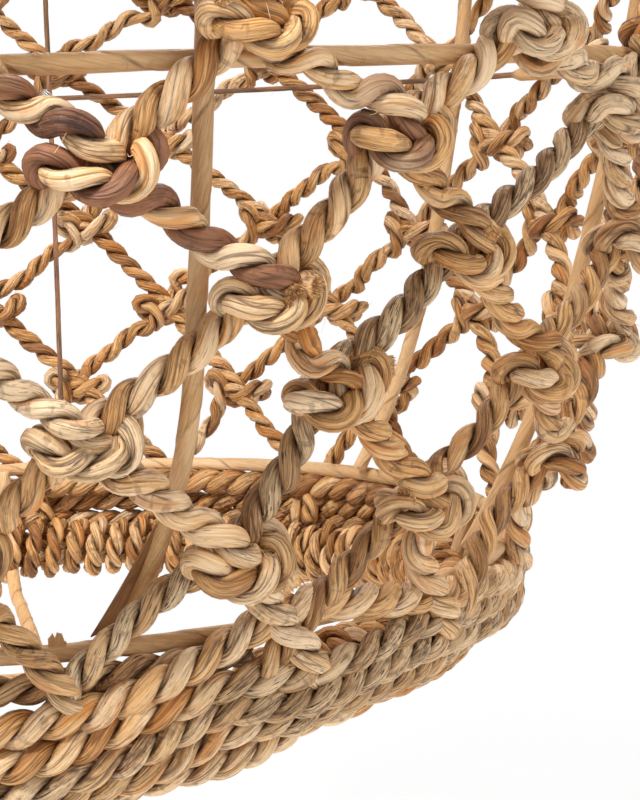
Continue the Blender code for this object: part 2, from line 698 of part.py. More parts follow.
def net_faces():
    """Corners of every mesh of the net, by panel name."""
    panels = {}
    for tier, (first, last) in NET_TIERS.items():
        for row in range(first, last + 1):
            offset = 1 - row % 2
            for column in range(NET_COLUMNS):
                middle = 2 * column + offset - NET_COLUMNS + (0 if offset else 2)
                corners = [knot(row, wrapped(middle - 1)), knot(row - 1, wrapped(middle))]
                corners += [knot(row, wrapped(middle + 1)), knot(row + 1, wrapped(middle))]
                kept = [corner for corner in corners if corner]
                if len(kept) < 3 or all(on_edge for _, on_edge in kept):
                    continue
                name = "net_" + tier + "_" + gore_of(middle, tier)
                panels.setdefault(name, []).append([place for place, _ in kept])
    return panels


def wrapped(half_column):
    """Half column counted from the back, within half a turn each way."""
    return (half_column + NET_COLUMNS - 1) % (2 * NET_COLUMNS) - NET_COLUMNS + 1


def thicken(shape, thickness):
    """Give an open surface its thickness along the egg's normals, so that neighbours stay parallel."""
    for vert in shape.verts:
        vert.co -= egg_normal(vert.co) * thickness / 2
    outer = bmesh.ops.extrude_face_region(shape, geom=list(shape.faces), use_keep_orig=True)
    for vert in outer["geom"]:
        if isinstance(vert, bmesh.types.BMVert):
            vert.co += egg_normal(vert.co) * thickness
    bmesh.ops.recalc_face_normals(shape, faces=shape.faces)


def build_net(basket):
    """Rope net outside the hoops, in panels that meet along half strands."""
    for name, faces in net_faces().items():
        shape = bmesh.new()
        for corners in faces:
            shape.faces.new([shape.verts.new(corner) for corner in corners])
        bmesh.ops.remove_doubles(shape, verts=shape.verts, dist=MERGE_DISTANCE)
        bmesh.ops.recalc_face_normals(shape, faces=shape.faces)
        meshes = list(shape.faces)
        seam = bmesh.ops.inset_region(shape, faces=meshes, thickness=SEAM_GAP, use_boundary=True)
        bmesh.ops.delete(shape, geom=seam["faces"], context="FACES")
        meshes = list(shape.faces)
        bmesh.ops.inset_individual(shape, faces=meshes, thickness=STRAND_WIDTH / 2, use_even_offset=True)
        bmesh.ops.delete(shape, geom=meshes, context="FACES")
        thicken(shape, NET_THICKNESS)
        mesh = bpy.data.meshes.new(name)
        shape.to_mesh(mesh)
        shape.free()
        add_part(name, mesh, ROPE, basket, BASKET_PLACE)


def main():
    """Build the chair from the hook down."""
    build_hook()
    build_swivel()
    build_shackle()
    basket = add_pivot("basket_pivot", (0, 0, -SHACKLE_PIN_DEPTH))
    build_crown(basket)
    build_uprights(basket)
    build_hoops(basket)
    build_rim(basket)
    build_band(basket)
    build_cap(basket)
    build_seat_rods(basket)
    build_net(basket)


for old in list(bpy.data.objects):
    bpy.data.objects.remove(old)
PARTS = collection("hanging_egg_chair")
CUTTERS = collection("cutters")
main()
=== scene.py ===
"""Hanging egg chair, dressed: two-ply leaf rope knotted over rods wrapped in split leaf.

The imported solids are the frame. Everything on the basket is worked out in the basket's own frame, whose
origin is the middle of the base ring with +Z up, and is moved to its place when its mesh is made. Lengths are
metres and angles are degrees unless a name or a comment says otherwise.
"""

from __future__ import annotations

import logging
import math
from collections.abc import Iterable, Sequence
from dataclasses import dataclass, field
from enum import Enum

import bpy
import numpy as np
from mathutils import Matrix, Vector


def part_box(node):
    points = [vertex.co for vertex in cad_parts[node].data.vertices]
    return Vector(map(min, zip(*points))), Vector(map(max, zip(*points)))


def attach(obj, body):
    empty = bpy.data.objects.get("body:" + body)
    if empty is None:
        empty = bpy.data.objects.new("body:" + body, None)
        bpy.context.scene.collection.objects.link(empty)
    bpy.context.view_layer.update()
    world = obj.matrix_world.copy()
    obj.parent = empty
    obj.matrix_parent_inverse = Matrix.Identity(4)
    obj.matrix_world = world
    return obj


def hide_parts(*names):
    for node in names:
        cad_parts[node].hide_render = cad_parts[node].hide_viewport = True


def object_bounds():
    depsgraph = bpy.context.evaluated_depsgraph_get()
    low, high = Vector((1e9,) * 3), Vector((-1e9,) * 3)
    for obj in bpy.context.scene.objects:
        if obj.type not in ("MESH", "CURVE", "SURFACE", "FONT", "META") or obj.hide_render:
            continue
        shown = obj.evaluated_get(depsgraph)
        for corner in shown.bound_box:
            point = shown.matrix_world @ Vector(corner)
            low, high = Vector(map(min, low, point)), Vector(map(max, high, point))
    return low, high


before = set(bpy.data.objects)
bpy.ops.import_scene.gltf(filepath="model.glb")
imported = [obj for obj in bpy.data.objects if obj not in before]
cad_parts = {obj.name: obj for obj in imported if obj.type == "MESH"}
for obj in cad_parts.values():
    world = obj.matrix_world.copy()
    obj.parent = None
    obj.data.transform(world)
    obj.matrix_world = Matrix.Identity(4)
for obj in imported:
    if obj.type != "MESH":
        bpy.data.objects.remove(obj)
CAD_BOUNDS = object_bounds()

LOG = logging.getLogger("egg_chair")
TAU = 2 * math.pi
Array = np.ndarray
Values = np.ndarray | float
Random = np.random.RandomState
Socket = bpy.types.NodeSocket
Colour = tuple[float, float, float]
ByAngle = tuple[tuple[float, float], ...]


# ---- Shapes ----


def unit(vectors: Array) -> Array:
    """Vectors scaled to length one, along the last axis."""
    return vectors / np.maximum(np.linalg.norm(vectors, axis=-1, keepdims=True), 1e-12)


def middle_of(node: str) -> Vector:
    """Middle of a node's box."""
    low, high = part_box(node)
    return (low + high) / 2


@dataclass(frozen=True)
class EggShape:
    """The egg that the middle lines of the level hoops lie on, in the basket's frame."""

    radius: float = 0.378
    widest: float = 0.560
    lower_reach: float = 0.785
    upper_reach: float = 0.520

    def radius_at(self, height: Values) -> Array:
        """Radius of the egg at a height.

        Args:
            height: Height over the base ring.

        Returns:
            The radius, 0 above the egg's top.
        """
        height = np.asarray(height, float)
        reach = np.where(height < self.widest, self.lower_reach, self.upper_reach)
        return self.radius * np.sqrt(np.maximum(1 - ((height - self.widest) / reach) ** 2, 0))

    def height_at(self, radius: float) -> float:
        """Height on the upper egg where it has a radius."""
        return self.widest + self.upper_reach * math.sqrt(1 - (radius / self.radius) ** 2)

    def normal(self, spots: Array) -> Array:
        """Outward normals at spots on the egg or near it.

        Args:
            spots: Points whose last axis is x, y, z.

        Returns:
            Unit vectors of the same shape.
        """
        spots = np.asarray(spots, float)
        reach = np.where(spots[..., 2] < self.widest, self.lower_reach, self.upper_reach)
        out = np.empty_like(spots)
        out[..., :2] = spots[..., :2] / self.radius**2
        out[..., 2] = (spots[..., 2] - self.widest) / reach**2
        return unit(out)

    def point(self, angle: Values, height: Values, outward: Values = 0.0) -> Array:
        """Point at an angle in degrees and a height, moved outward.

        Args:
            angle: Angle about the axis in degrees, 0 at +X and 90 at the back.
            height: Height over the base ring.
            outward: Distance along the egg's normal.

        Returns:
            Points as an array whose last axis is x, y, z.
        """
        spots = ring_point(angle, self.radius_at(height), height)
        return spots + np.asarray(outward, float)[..., None] * self.normal(spots)


def ring_point(angle: Values, radius: Values, height: Values) -> Array:
    """Point at an angle, a radius and a height.

    Args:
        angle: Angle about the basket's axis, 0 at +X and 90 at the back.
        radius: Distance from the axis.
        height: Height over the base ring.

    Returns:
        Points as an array whose last axis is x, y, z.
    """
    turn = np.radians(np.asarray(angle, float))
    turn, radius, height = np.broadcast_arrays(turn, np.asarray(radius, float), np.asarray(height, float))
    return np.stack((radius * np.cos(turn), radius * np.sin(turn), height), axis=-1)


def angle_of(points: Array) -> Array:
    """Angles about the basket's axis at which points lie, from -180 to 180."""
    return np.degrees(np.arctan2(points[:, 1], points[:, 0]))


def angle_between(first: Values, second: float) -> Values:
    """Angle between two directions about the axis, the shorter way round."""
    return np.abs((first - second + 180) % 360 - 180)


def drawn_share(angle: Values) -> Values:
    """How far the basket's foot is drawn in at an angle, from 0 at the left side to 1."""
    return np.clip((angle - 28) / 32, 0, 1) + np.clip((-30 - angle) / 40, 0, 1)


def ring_round(turn: Array, normals: Array, binormals: Array) -> Array:
    """Unit directions square to a path, all round each of its points.

    Args:
        turn: Angles of the directions in radians.
        normals: Unit normals of the path.
        binormals: Unit binormals of the path.

    Returns:
        The directions as points by angles by 3.
    """
    return np.cos(turn)[None, :, None] * normals[:, None] + np.sin(turn)[None, :, None] * binormals[:, None]


CURVE_STEPS = 12


def smooth_path(points: Array, spacing: float, closed: bool = False) -> tuple[Array, Array]:
    """Smooth curve through points, resampled at an even spacing.

    Args:
        points: Points that the curve passes through.
        spacing: Distance between the samples.
        closed: Whether the curve runs back to its first point.

    Returns:
        The samples, and the distance along the curve at which each of the points lies.
    """
    points = np.asarray(points, float)
    if closed:
        points = np.vstack((points[-2:], points, points[:3]))
    steps = np.maximum(np.linalg.norm(np.diff(points, axis=0), axis=1), 1e-6) ** 0.5
    knots = np.concatenate(([0.0], np.cumsum(steps)))
    slopes = np.gradient(points, knots, axis=0)
    inside = np.linspace(0, 1, CURVE_STEPS + 1)[:-1]
    u = inside[None, :, None]
    start, end = points[:-1, None], points[1:, None]
    reach = steps[:, None, None]
    dense = (
        (2 * u**3 - 3 * u**2 + 1) * start
        + (u**3 - 2 * u**2 + u) * reach * slopes[:-1, None]
        + (3 * u**2 - 2 * u**3) * end
        + (u**3 - u**2) * reach * slopes[1:, None]
    ).reshape(-1, 3)
    dense = np.vstack((dense, points[-1:]))
    if closed:
        dense = dense[2 * len(inside) : -2 * len(inside)]
    along = np.concatenate(([0.0], np.cumsum(np.linalg.norm(np.diff(dense, axis=0), axis=1))))
    count = max(int(round(along[-1] / spacing)), 2)
    stations = np.linspace(0, along[-1], count + 1)
    samples = np.stack([np.interp(stations, along, dense[:, k]) for k in range(3)], axis=1)
    return samples, along[:: len(inside)]


def carried_frames(path: Array, first: Array) -> tuple[Array, Array, Array]:
    """Tangents, normals and binormals along a path, turned as little as possible.

    Args:
        path: Evenly spaced points.
        first: Direction that the first normal is taken from.

    Returns:
        Unit tangents, normals and binormals, one of each a point.
    """
    tangents = unit(np.gradient(path, axis=0))
    normal = first - tangents[0] * float(first @ tangents[0])
    nx, ny, nz = (float(v) for v in unit(normal))
    normals = []
    for tx, ty, tz in tangents.tolist():
        dot = nx * tx + ny * ty + nz * tz
        nx, ny, nz = nx - dot * tx, ny - dot * ty, nz - dot * tz
        size = math.sqrt(nx * nx + ny * ny + nz * nz)
        nx, ny, nz = nx / size, ny / size, nz / size
        normals.append((nx, ny, nz))
    normals = np.array(normals)
    return tangents, normals, np.cross(tangents, normals)


def drift(rng: Random, count: int, reach: int) -> Array:
    """Smooth random numbers of about unit size.

    Args:
        rng: Random numbers that they are drawn from.
        count: How many to make.
        reach: Over how many samples they change.

    Returns:
        The numbers, one a sample.
    """
    knots = rng.normal(0, 1, count // max(reach, 1) + 4)
    places = np.linspace(1, len(knots) - 2.001, count)
    whole = places.astype(int)
    part = places - whole
    ease = part * part * (3 - 2 * part)
    return knots[whole] * (1 - ease) + knots[whole + 1] * ease


@dataclass(frozen=True)
class Wander:
    """How a measure strays from even along a length: by how much, and over how many samples it changes."""

    amount: float
    reach: int

    def along(self, rng: Random, count: int) -> Array:
        """Strays for a number of samples."""
        return self.amount * drift(rng, count, self.reach)


# ---- Meshes ----


@dataclass
class MeshPool:
    """Gathers tubes and sheets of one piece and makes them one mesh.

    Each point carries a grain vector, which is distance along the fibres and place across them, and a tint
    of four shares: grey, dark, shade, which is the leaf's own tone, and painted shade, which darkens hollows.
    """

    points: list[Array] = field(default_factory=list)
    grain: list[Array] = field(default_factory=list)
    tint: list[Array] = field(default_factory=list)
    faces: list[Array] = field(default_factory=list)
    smooth: list[Array] = field(default_factory=list)
    count: int = 0

    def add_grid(self, points: Array, grain: Array, tint: Array, caps: bool = True) -> None:
        """Add a tube from a grid of rings.

        Args:
            points: Points as rings by sides by 3.
            grain: Grain vectors of the same shape.
            tint: Tints as rings by sides by 4.
            caps: Whether the two ends are closed with flat faces.
        """
        rings, sides = points.shape[:2]
        index = self.count + np.arange(rings * sides).reshape(rings, sides)
        after = np.roll(index, -1, axis=1)
        quads = np.stack((index[:-1], after[:-1], after[1:], index[1:]), axis=-1).reshape(-1, 4)
        self.faces.append(quads)
        self.smooth.append(np.ones(len(quads), bool))
        if caps:
            self.faces.append(index[0][::-1][None])
            self.faces.append(index[-1][None])
            self.smooth.append(np.zeros(2, bool))
        self.points.append(points.reshape(-1, 3))
        self.grain.append(grain.reshape(-1, 3))
        self.tint.append(tint.reshape(-1, 4))
        self.count += rings * sides

    def add_sheet(self, points: Array, grain: Array, tint: Array, thickness: float) -> None:
        """Add a thin closed sheet from a grid of points.

        Args:
            points: Middle surface as rows by columns by 3.
            grain: Grain vectors of the same shape.
            tint: Tints as rows by columns by 4.
            thickness: Thickness of the sheet.
        """
        along = np.gradient(points, axis=0)
        across = np.gradient(points, axis=1)
        lift = unit(np.cross(along, across)) * thickness / 2
        loop = np.concatenate((points + lift, (points - lift)[:, ::-1]), axis=1)
        wrap_grain = np.concatenate((grain, grain[:, ::-1]), axis=1)
        wrap_tint = np.concatenate((tint, tint[:, ::-1]), axis=1)
        self.add_grid(loop[:, ::-1], wrap_grain[:, ::-1], wrap_tint[:, ::-1])

    def make(self, name: str, place: Vector) -> bpy.types.Object:
        """Make the mesh object, with its points moved by a place.

        Args:
            name: Name of the piece.
            place: Where the pool's origin lies in the world.

        Returns:
            The new object, linked to the scene.
        """
        mesh = bpy.data.meshes.new(name)
        points = np.vstack(self.points) + np.array(place)
        mesh.vertices.add(len(points))
        mesh.vertices.foreach_set("co", points.astype(np.float32).ravel())
        sizes = np.concatenate([np.full(len(block), block.shape[1]) for block in self.faces])
        corners = np.concatenate([block.ravel() for block in self.faces])
        starts = np.concatenate(([0], np.cumsum(sizes)[:-1]))
        mesh.loops.add(len(corners))
        mesh.loops.foreach_set("vertex_index", corners.astype(np.int32))
        mesh.polygons.add(len(sizes))
        mesh.polygons.foreach_set("loop_start", starts.astype(np.int32))
        mesh.polygons.foreach_set("use_smooth", np.concatenate(self.smooth))
        mesh.update(calc_edges=True)
        grain = mesh.attributes.new("grain", "FLOAT_VECTOR", "POINT")
        grain.data.foreach_set("vector", np.vstack(self.grain).astype(np.float32).ravel())
        tint = mesh.attributes.new("tint", "FLOAT_COLOR", "POINT")
        tint.data.foreach_set("color", np.vstack(self.tint).astype(np.float32).ravel())
        made = bpy.data.objects.new(name, mesh)
        bpy.context.scene.collection.objects.link(made)
        return made


@dataclass(frozen=True)
class Tone:
    """Colour shares of a length of leaf: how grey, how dark and how light or deep it is, and its girth."""

    grey: float = 0.2
    dark: float = 0.0
    shade: float = 0.5
    girth: float = 1.0


@dataclass(frozen=True)
class Detail:
    """How finely a length of rope is made: every so many samples a ring, of so many sides."""

    stride: int
    sides: int


NEAR = Detail(1, 26)
MIDDLE = Detail(1, 16)
FAR = Detail(2, 10)
BAND_FAR = Detail(2, 14)


@dataclass(frozen=True)
class Ripple:
    """Waves round a strand: how many, how strong, and how far they sway along it in radians."""

    waves: int
    strength: float
    sway: float


@dataclass(frozen=True)
class LeafFolds:
    """Deep folds along a strand's leaf, which come and go and sway round it."""

    count: int = 3
    depth: float = 0.20
    width: float = 0.28
    sway: float = 0.9
    stagger: float = 0.7
    start: float = 0.35
    growth: float = 0.9
    shadow: float = 0.75

    def over(self, turn: Array, sways: Sequence[Array], ply: int) -> Array:
        """How deep the leaf is folded over a strand.

        Args:
            turn: Angles round the strand in radians, as rings by sides.
            sways: The strand's slow changes, one value a ring in each.
            ply: Number of the strand.

        Returns:
            Shares from 0 to 1, as rings by sides.
        """
        folds = 0 * turn
        for number in range(self.count):
            apart = turn - self.sway * sways[number][:, None] - number * TAU / self.count - self.stagger * ply
            apart = np.abs((apart + math.pi) % TAU - math.pi)
            next_sway = sways[(number + 1) % self.count][:, None]
            depth = np.clip(self.start + self.growth * next_sway, 0, 1)
            folds = np.maximum(folds, depth * np.exp(-((apart / self.width) ** 2)))
        return folds


@dataclass(frozen=True)
class RopeLay:
    """Two-ply rope, laid so that its strands lean like a stroke rising to the right on a level rope.

    The fibres of a strand turn the other way than the strands do. Each strand is an oval that bears on its
    fellow, and the leaf on it is rippled and folded.
    """

    radius: float = 0.0076
    pitch: float = 0.031
    offset_share: float = 0.50
    radial_share: float = 0.52
    tangent_share: float = 0.60
    fibre_twist: float = -112.0
    twist_level: float = 1.35
    twist_spread: float = 0.5
    relief: float = 0.045
    ripples: tuple[Ripple, ...] = (Ripple(2, 1.0, 3.0), Ripple(5, 0.8, 4.0), Ripple(3, 0.5, 5.0))
    folds: LeafFolds = LeafFolds()
    tuck: float = 0.98
    ply_grain_gap: float = 7.3
    # Painted shade on each strand's side toward its fellow: its level, and how fast it grows toward that
    # side.
    painted_shade_level: float = 0.30
    painted_shade_reach: float = 0.85

    def strands(self, pool: MeshPool, run: RopeRun, first: int, last: int, detail: Detail) -> None:
        """Add both strands of a stretch of rope to a pool.

        A stretch runs one ring past each of its ends, where the ring is tucked in, so that no seam shows
        where it meets the next stretch.

        Args:
            pool: Pool that takes the strands.
            run: The laid rope.
            first: First sample of the stretch.
            last: Last sample of the stretch.
            detail: How finely the stretch is made.
        """
        ends = (first - detail.stride, last + detail.stride)
        beyond = [end for end in ends if 0 <= end < len(run.path)]
        inside = np.arange(first, last, detail.stride)
        picked = np.unique(np.concatenate((inside, (last,), beyond))).astype(int)
        tuck = np.where((picked < first) | (picked > last), self.tuck, 1.0)[:, None]
        round_about = np.arange(detail.sides) * TAU / detail.sides
        across = self.radius * self.radial_share
        # Painted shade, deepest on the side of the strand that faces the other strand.
        painted_shade = np.clip(self.painted_shade_level - self.painted_shade_reach * np.cos(round_about), 0, 1)
        for ply in range(2):
            centres, outs, sides = (part[ply][picked] for part in run.plies)
            along = run.along[picked][:, None]
            twist = self.twist_level + self.twist_spread * math.sin(run.seed + 2 * ply)
            turn = round_about[None] + self.fibre_twist * twist * along
            sways = [sway[picked] for sway in run.sway[ply]]
            ripple = 0.0
            for part, sway in zip(self.ripples, sways):
                ripple = ripple + part.strength * np.sin(part.waves * turn + part.sway * sway[:, None])
            folds = self.folds.over(turn, sways, ply)
            girth = run.girth[picked][:, None] * self.radius * run.swell[ply][picked][:, None]
            size = girth * (1 + self.relief * ripple - self.folds.depth * folds) * tuck
            radial = size * self.radial_share * np.cos(round_about)[None]
            level = size * self.tangent_share * np.sin(round_about)[None]
            points = centres[:, None] + radial[..., None] * outs[:, None] + level[..., None] * sides[:, None]
            far_along = np.broadcast_to(along + self.ply_grain_gap * ply + run.seed, turn.shape)
            grain = np.stack((far_along, across * np.cos(turn), across * np.sin(turn)), axis=-1)
            tint = np.empty(turn.shape + (4,))
            for share, values in enumerate((run.grey, run.dark, run.shade)):
                tint[..., share] = values[ply][picked][:, None]
            # Channel 3 is painted shade: the side toward the other strand, plus the bottoms of the folds.
            tint[..., 3] = np.clip(painted_shade[None] + self.folds.shadow * folds**2, 0, 1)
            pool.add_grid(points, grain, tint)


class RopeRun:
    """A rope along a path: frames, strand middles, and how its colour and girth change along it."""

    TURN = Wander(0.55, 60)
    GIRTH = Wander(0.04, 60)
    SWELL = Wander(0.05, 12)
    SWAY_REACHES = (26, 18, 22)
    GREY = Wander(0.16, 60)
    SHADE = Wander(0.20, 50)
    STRAND_SHADE = Wander(0.07, 16)
    START_UP = (0.03, 0.05, 1.0)

    def __init__(
        self,
        control: Array,
        lay: RopeLay,
        rng: Random,
        tone: Tone,
        spacing: float = 0.0017,
        first: Array | None = None,
    ) -> None:
        """Lay a rope.

        Args:
            control: Points that the rope's middle passes through.
            lay: The rope's make-up.
            rng: Random numbers of this rope.
            tone: Colour shares of this rope.
            spacing: Distance between samples.
            first: Direction of the first normal, or None for nearly straight up.
        """
        self.lay = lay
        self.path, self.stations = smooth_path(control, spacing)
        count = len(self.path)
        start = np.array(self.START_UP) if first is None else first
        _, self.normals, self.binormals = carried_frames(self.path, start)
        length = np.linalg.norm(np.diff(self.path, axis=0), axis=1)
        self.along = np.concatenate(([0.0], np.cumsum(length)))
        self.seed = rng.uniform(0, 50)
        self.phase = rng.uniform(0, TAU) - TAU * self.along / lay.pitch + self.TURN.along(rng, count)
        self.girth = tone.girth * (1 + self.GIRTH.along(rng, count))
        self.swell = [1 + self.SWELL.along(rng, count) for _ in range(2)]
        self.sway = [[drift(rng, count, reach) for reach in self.SWAY_REACHES] for _ in range(2)]
        self.grey = [np.clip(tone.grey + self.GREY.along(rng, count), 0, 1) for _ in range(2)]
        self.dark = [np.full(count, tone.dark) for _ in range(2)]
        self.shade = [np.clip(tone.shade + self.SHADE.along(rng, count), 0, 1) for _ in range(2)]
        own = Random(int(self.seed * 1000))
        for ply in range(2):
            strand = self.shade[ply] + self.STRAND_SHADE.amount * own.normal()
            self.shade[ply] = strand + self.STRAND_SHADE.along(own, count)
        self.plies: list[list[Array]] = []

    def twist(self) -> None:
        """Work out the middle line and frame of both strands."""
        self.plies = [[], [], []]
        for ply in range(2):
            angle = self.phase + math.pi * ply
            out = np.cos(angle)[:, None] * self.normals + np.sin(angle)[:, None] * self.binormals
            offset = self.lay.offset_share * self.lay.radius * self.girth * self.swell[1 - ply]
            centre = self.path + offset[:, None] * out
            tangent = unit(np.gradient(centre, axis=0))
            out = unit(out - tangent * np.sum(out * tangent, axis=1, keepdims=True))
            for part, value in zip(self.plies, (centre, out, np.cross(tangent, out))):
                part.append(value)

    def sample_at(self, station: float) -> int:
        """Index of the sample nearest to a distance along the rope."""
        return int(np.clip(np.searchsorted(self.along, station), 0, len(self.along) - 1))

    def add_to(self, pool: MeshPool, detail: Detail, first: int = 0, last: int | None = None) -> None:
        """Add a stretch of the rope to a pool.

        Args:
            pool: Pool that takes the stretch.
            detail: How finely it is made.
            first: First sample of the stretch.
            last: Last sample, or None for the rope's end.
        """
        if not self.plies:
            self.twist()
        self.lay.strands(pool, self, first, len(self.path) - 1 if last is None else last, detail)


# ---- Materials ----


class Graph:
    """Adds and links the nodes of a shader tree."""

    def __init__(self, tree: bpy.types.NodeTree) -> None:
        """Take hold of a tree."""
        self.tree = tree

    def node(self, kind: str, **settings: object) -> bpy.types.Node:
        """Add a node.

        Args:
            kind: The node's type.
            **settings: Its properties by name.

        Returns:
            The new node.
        """
        made = self.tree.nodes.new(kind)
        for name, value in settings.items():
            setattr(made, name, value)
        return made

    def feed(self, socket: Socket, value: object) -> None:
        """Link an input, or set its value.

        Args:
            socket: The input.
            value: Output to link it to, or a number, a colour or a vector.
        """
        if isinstance(value, Socket):
            self.tree.links.new(value, socket)
        elif isinstance(value, tuple) and len(value) == 3 and socket.type == "RGBA":
            socket.default_value = (*value, 1)
        else:
            socket.default_value = value

    def math(self, operation: str, *values: object, clamp: bool = False) -> Socket:
        """Work out a value from others.

        Args:
            operation: What is done with them.
            *values: Up to three outputs or numbers.
            clamp: Whether the result is kept between 0 and 1.

        Returns:
            The result.
        """
        made = self.node("ShaderNodeMath", operation=operation, use_clamp=clamp)
        for socket, value in zip(made.inputs, values):
            self.feed(socket, value)
        return made.outputs[0]

    def times(self, value: object, factor: object) -> Socket:
        """A value times a factor."""
        return self.math("MULTIPLY", value, factor)

    def less(self, value: object, other: object) -> Socket:
        """A value less another."""
        return self.math("SUBTRACT", value, other)

    def mix(self, share: object, first: object, second: object) -> Socket:
        """Mix two colours.

        Args:
            share: Share of the second colour, from 0 to 1.
            first: First colour.
            second: Second colour.

        Returns:
            The mixed colour.
        """
        made = self.node("ShaderNodeMix", data_type="RGBA", blend_type="MIX")
        self.feed(made.inputs["Factor"], share)
        self.feed(made.inputs["A"], first)
        self.feed(made.inputs["B"], second)
        return made.outputs["Result"]

    def vector(self, operation: str, first: object, other: object) -> Socket:
        """Work out a vector from another.

        Args:
            operation: ADD for the sum of two vectors, SCALE for a vector times a number.
            first: The vector.
            other: The other vector or the number.

        Returns:
            The result.
        """
        made = self.node("ShaderNodeVectorMath", operation=operation)
        self.feed(made.inputs[0], first)
        self.feed(made.inputs["Scale" if operation == "SCALE" else 1], other)
        return made.outputs[0]

    def stretched(self, vector: object, scale: tuple[float, float, float]) -> Socket:
        """Scale coordinates on each axis.

        Args:
            vector: Coordinates.
            scale: Scale along the fibres and across them, in turns a metre.

        Returns:
            The scaled coordinates.
        """
        mapping = self.node("ShaderNodeMapping")
        self.feed(mapping.inputs["Vector"], vector)
        mapping.inputs["Scale"].default_value = scale
        return mapping.outputs[0]

    def stretched_noise(
        self, vector: object, scale: tuple[float, float, float], detail: float = 2.0, roughness: float = 0.5
    ) -> Socket:
        """Noise whose coordinates are scaled on each axis.

        Args:
            vector: Coordinates.
            scale: Scale along the fibres and across them, in turns a metre.
            detail: Octaves of the noise.
            roughness: Share of the finer octaves.

        Returns:
            The noise's value, about one half on average.
        """
        noise = self.node("ShaderNodeTexNoise", noise_dimensions="3D")
        self.feed(noise.inputs["Vector"], self.stretched(vector, scale))
        noise.inputs["Scale"].default_value = 1.0
        noise.inputs["Detail"].default_value = detail
        noise.inputs["Roughness"].default_value = roughness
        return noise.outputs["Fac"]

    def step(self, value: object, low: float, high: float) -> Socket:
        """Smooth step over a value.

        Args:
            value: The value.
            low: Where the step starts at 0.
            high: Where it reaches 1.

        Returns:
            The step, from 0 to 1.
        """
        made = self.node("ShaderNodeMapRange", interpolation_type="SMOOTHSTEP")
        self.feed(made.inputs["Value"], value)
        made.inputs["From Min"].default_value = low
        made.inputs["From Max"].default_value = high
        return made.outputs["Result"]

    def bump(self, height: object, strength: float, distance: float) -> Socket:
        """Normal of a surface that rises and falls.

        Args:
            height: Height, about 0 to 1.
            strength: Strength of the effect.
            distance: Real distance that a height of 1 stands for.

        Returns:
            The normal.
        """
        made = self.node("ShaderNodeBump")
        made.inputs["Strength"].default_value = strength
        made.inputs["Distance"].default_value = distance
        self.feed(made.inputs["Height"], height)
        return made.outputs[0]

    def seen_ray(self) -> Socket:
        """Tell the rays that show the surroundings from those that light the object.

        Returns:
            One on camera, glossy and transmission rays, and otherwise zero.
        """
        seen = self.node("ShaderNodeLightPath").outputs
        looks = self.math("MAXIMUM", seen["Is Camera Ray"], seen["Is Glossy Ray"])
        return self.math("MAXIMUM", looks, seen["Is Transmission Ray"])


def new_material(name: str) -> tuple[bpy.types.Material, Graph, bpy.types.Node]:
    """Start a material.

    Args:
        name: Name of the material.

    Returns:
        The material, its graph and its Principled shader.
    """
    made = bpy.data.materials.new(name)
    made.use_nodes = True
    return made, Graph(made.node_tree), made.node_tree.nodes["Principled BSDF"]


def new_group(name: str, inputs: Sequence[str], outputs: dict[str, str]) -> tuple[Graph, dict, dict]:
    """Start a shader node group.

    Args:
        name: Name of the group.
        inputs: Names of its number inputs.
        outputs: Socket type of each output by its name.

    Returns:
        The group's graph, its input sockets by name and its output sockets by name.
    """
    tree = bpy.data.node_groups.new(name, "ShaderNodeTree")
    for label in inputs:
        tree.interface.new_socket(label, in_out="INPUT", socket_type="NodeSocketFloat")
    for label, kind in outputs.items():
        tree.interface.new_socket(label, in_out="OUTPUT", socket_type=kind)
    graph = Graph(tree)
    entry = graph.node("NodeGroupInput")
    leave = graph.node("NodeGroupOutput")
    return graph, {label: entry.outputs[label] for label in inputs}, {k: leave.inputs[k] for k in outputs}


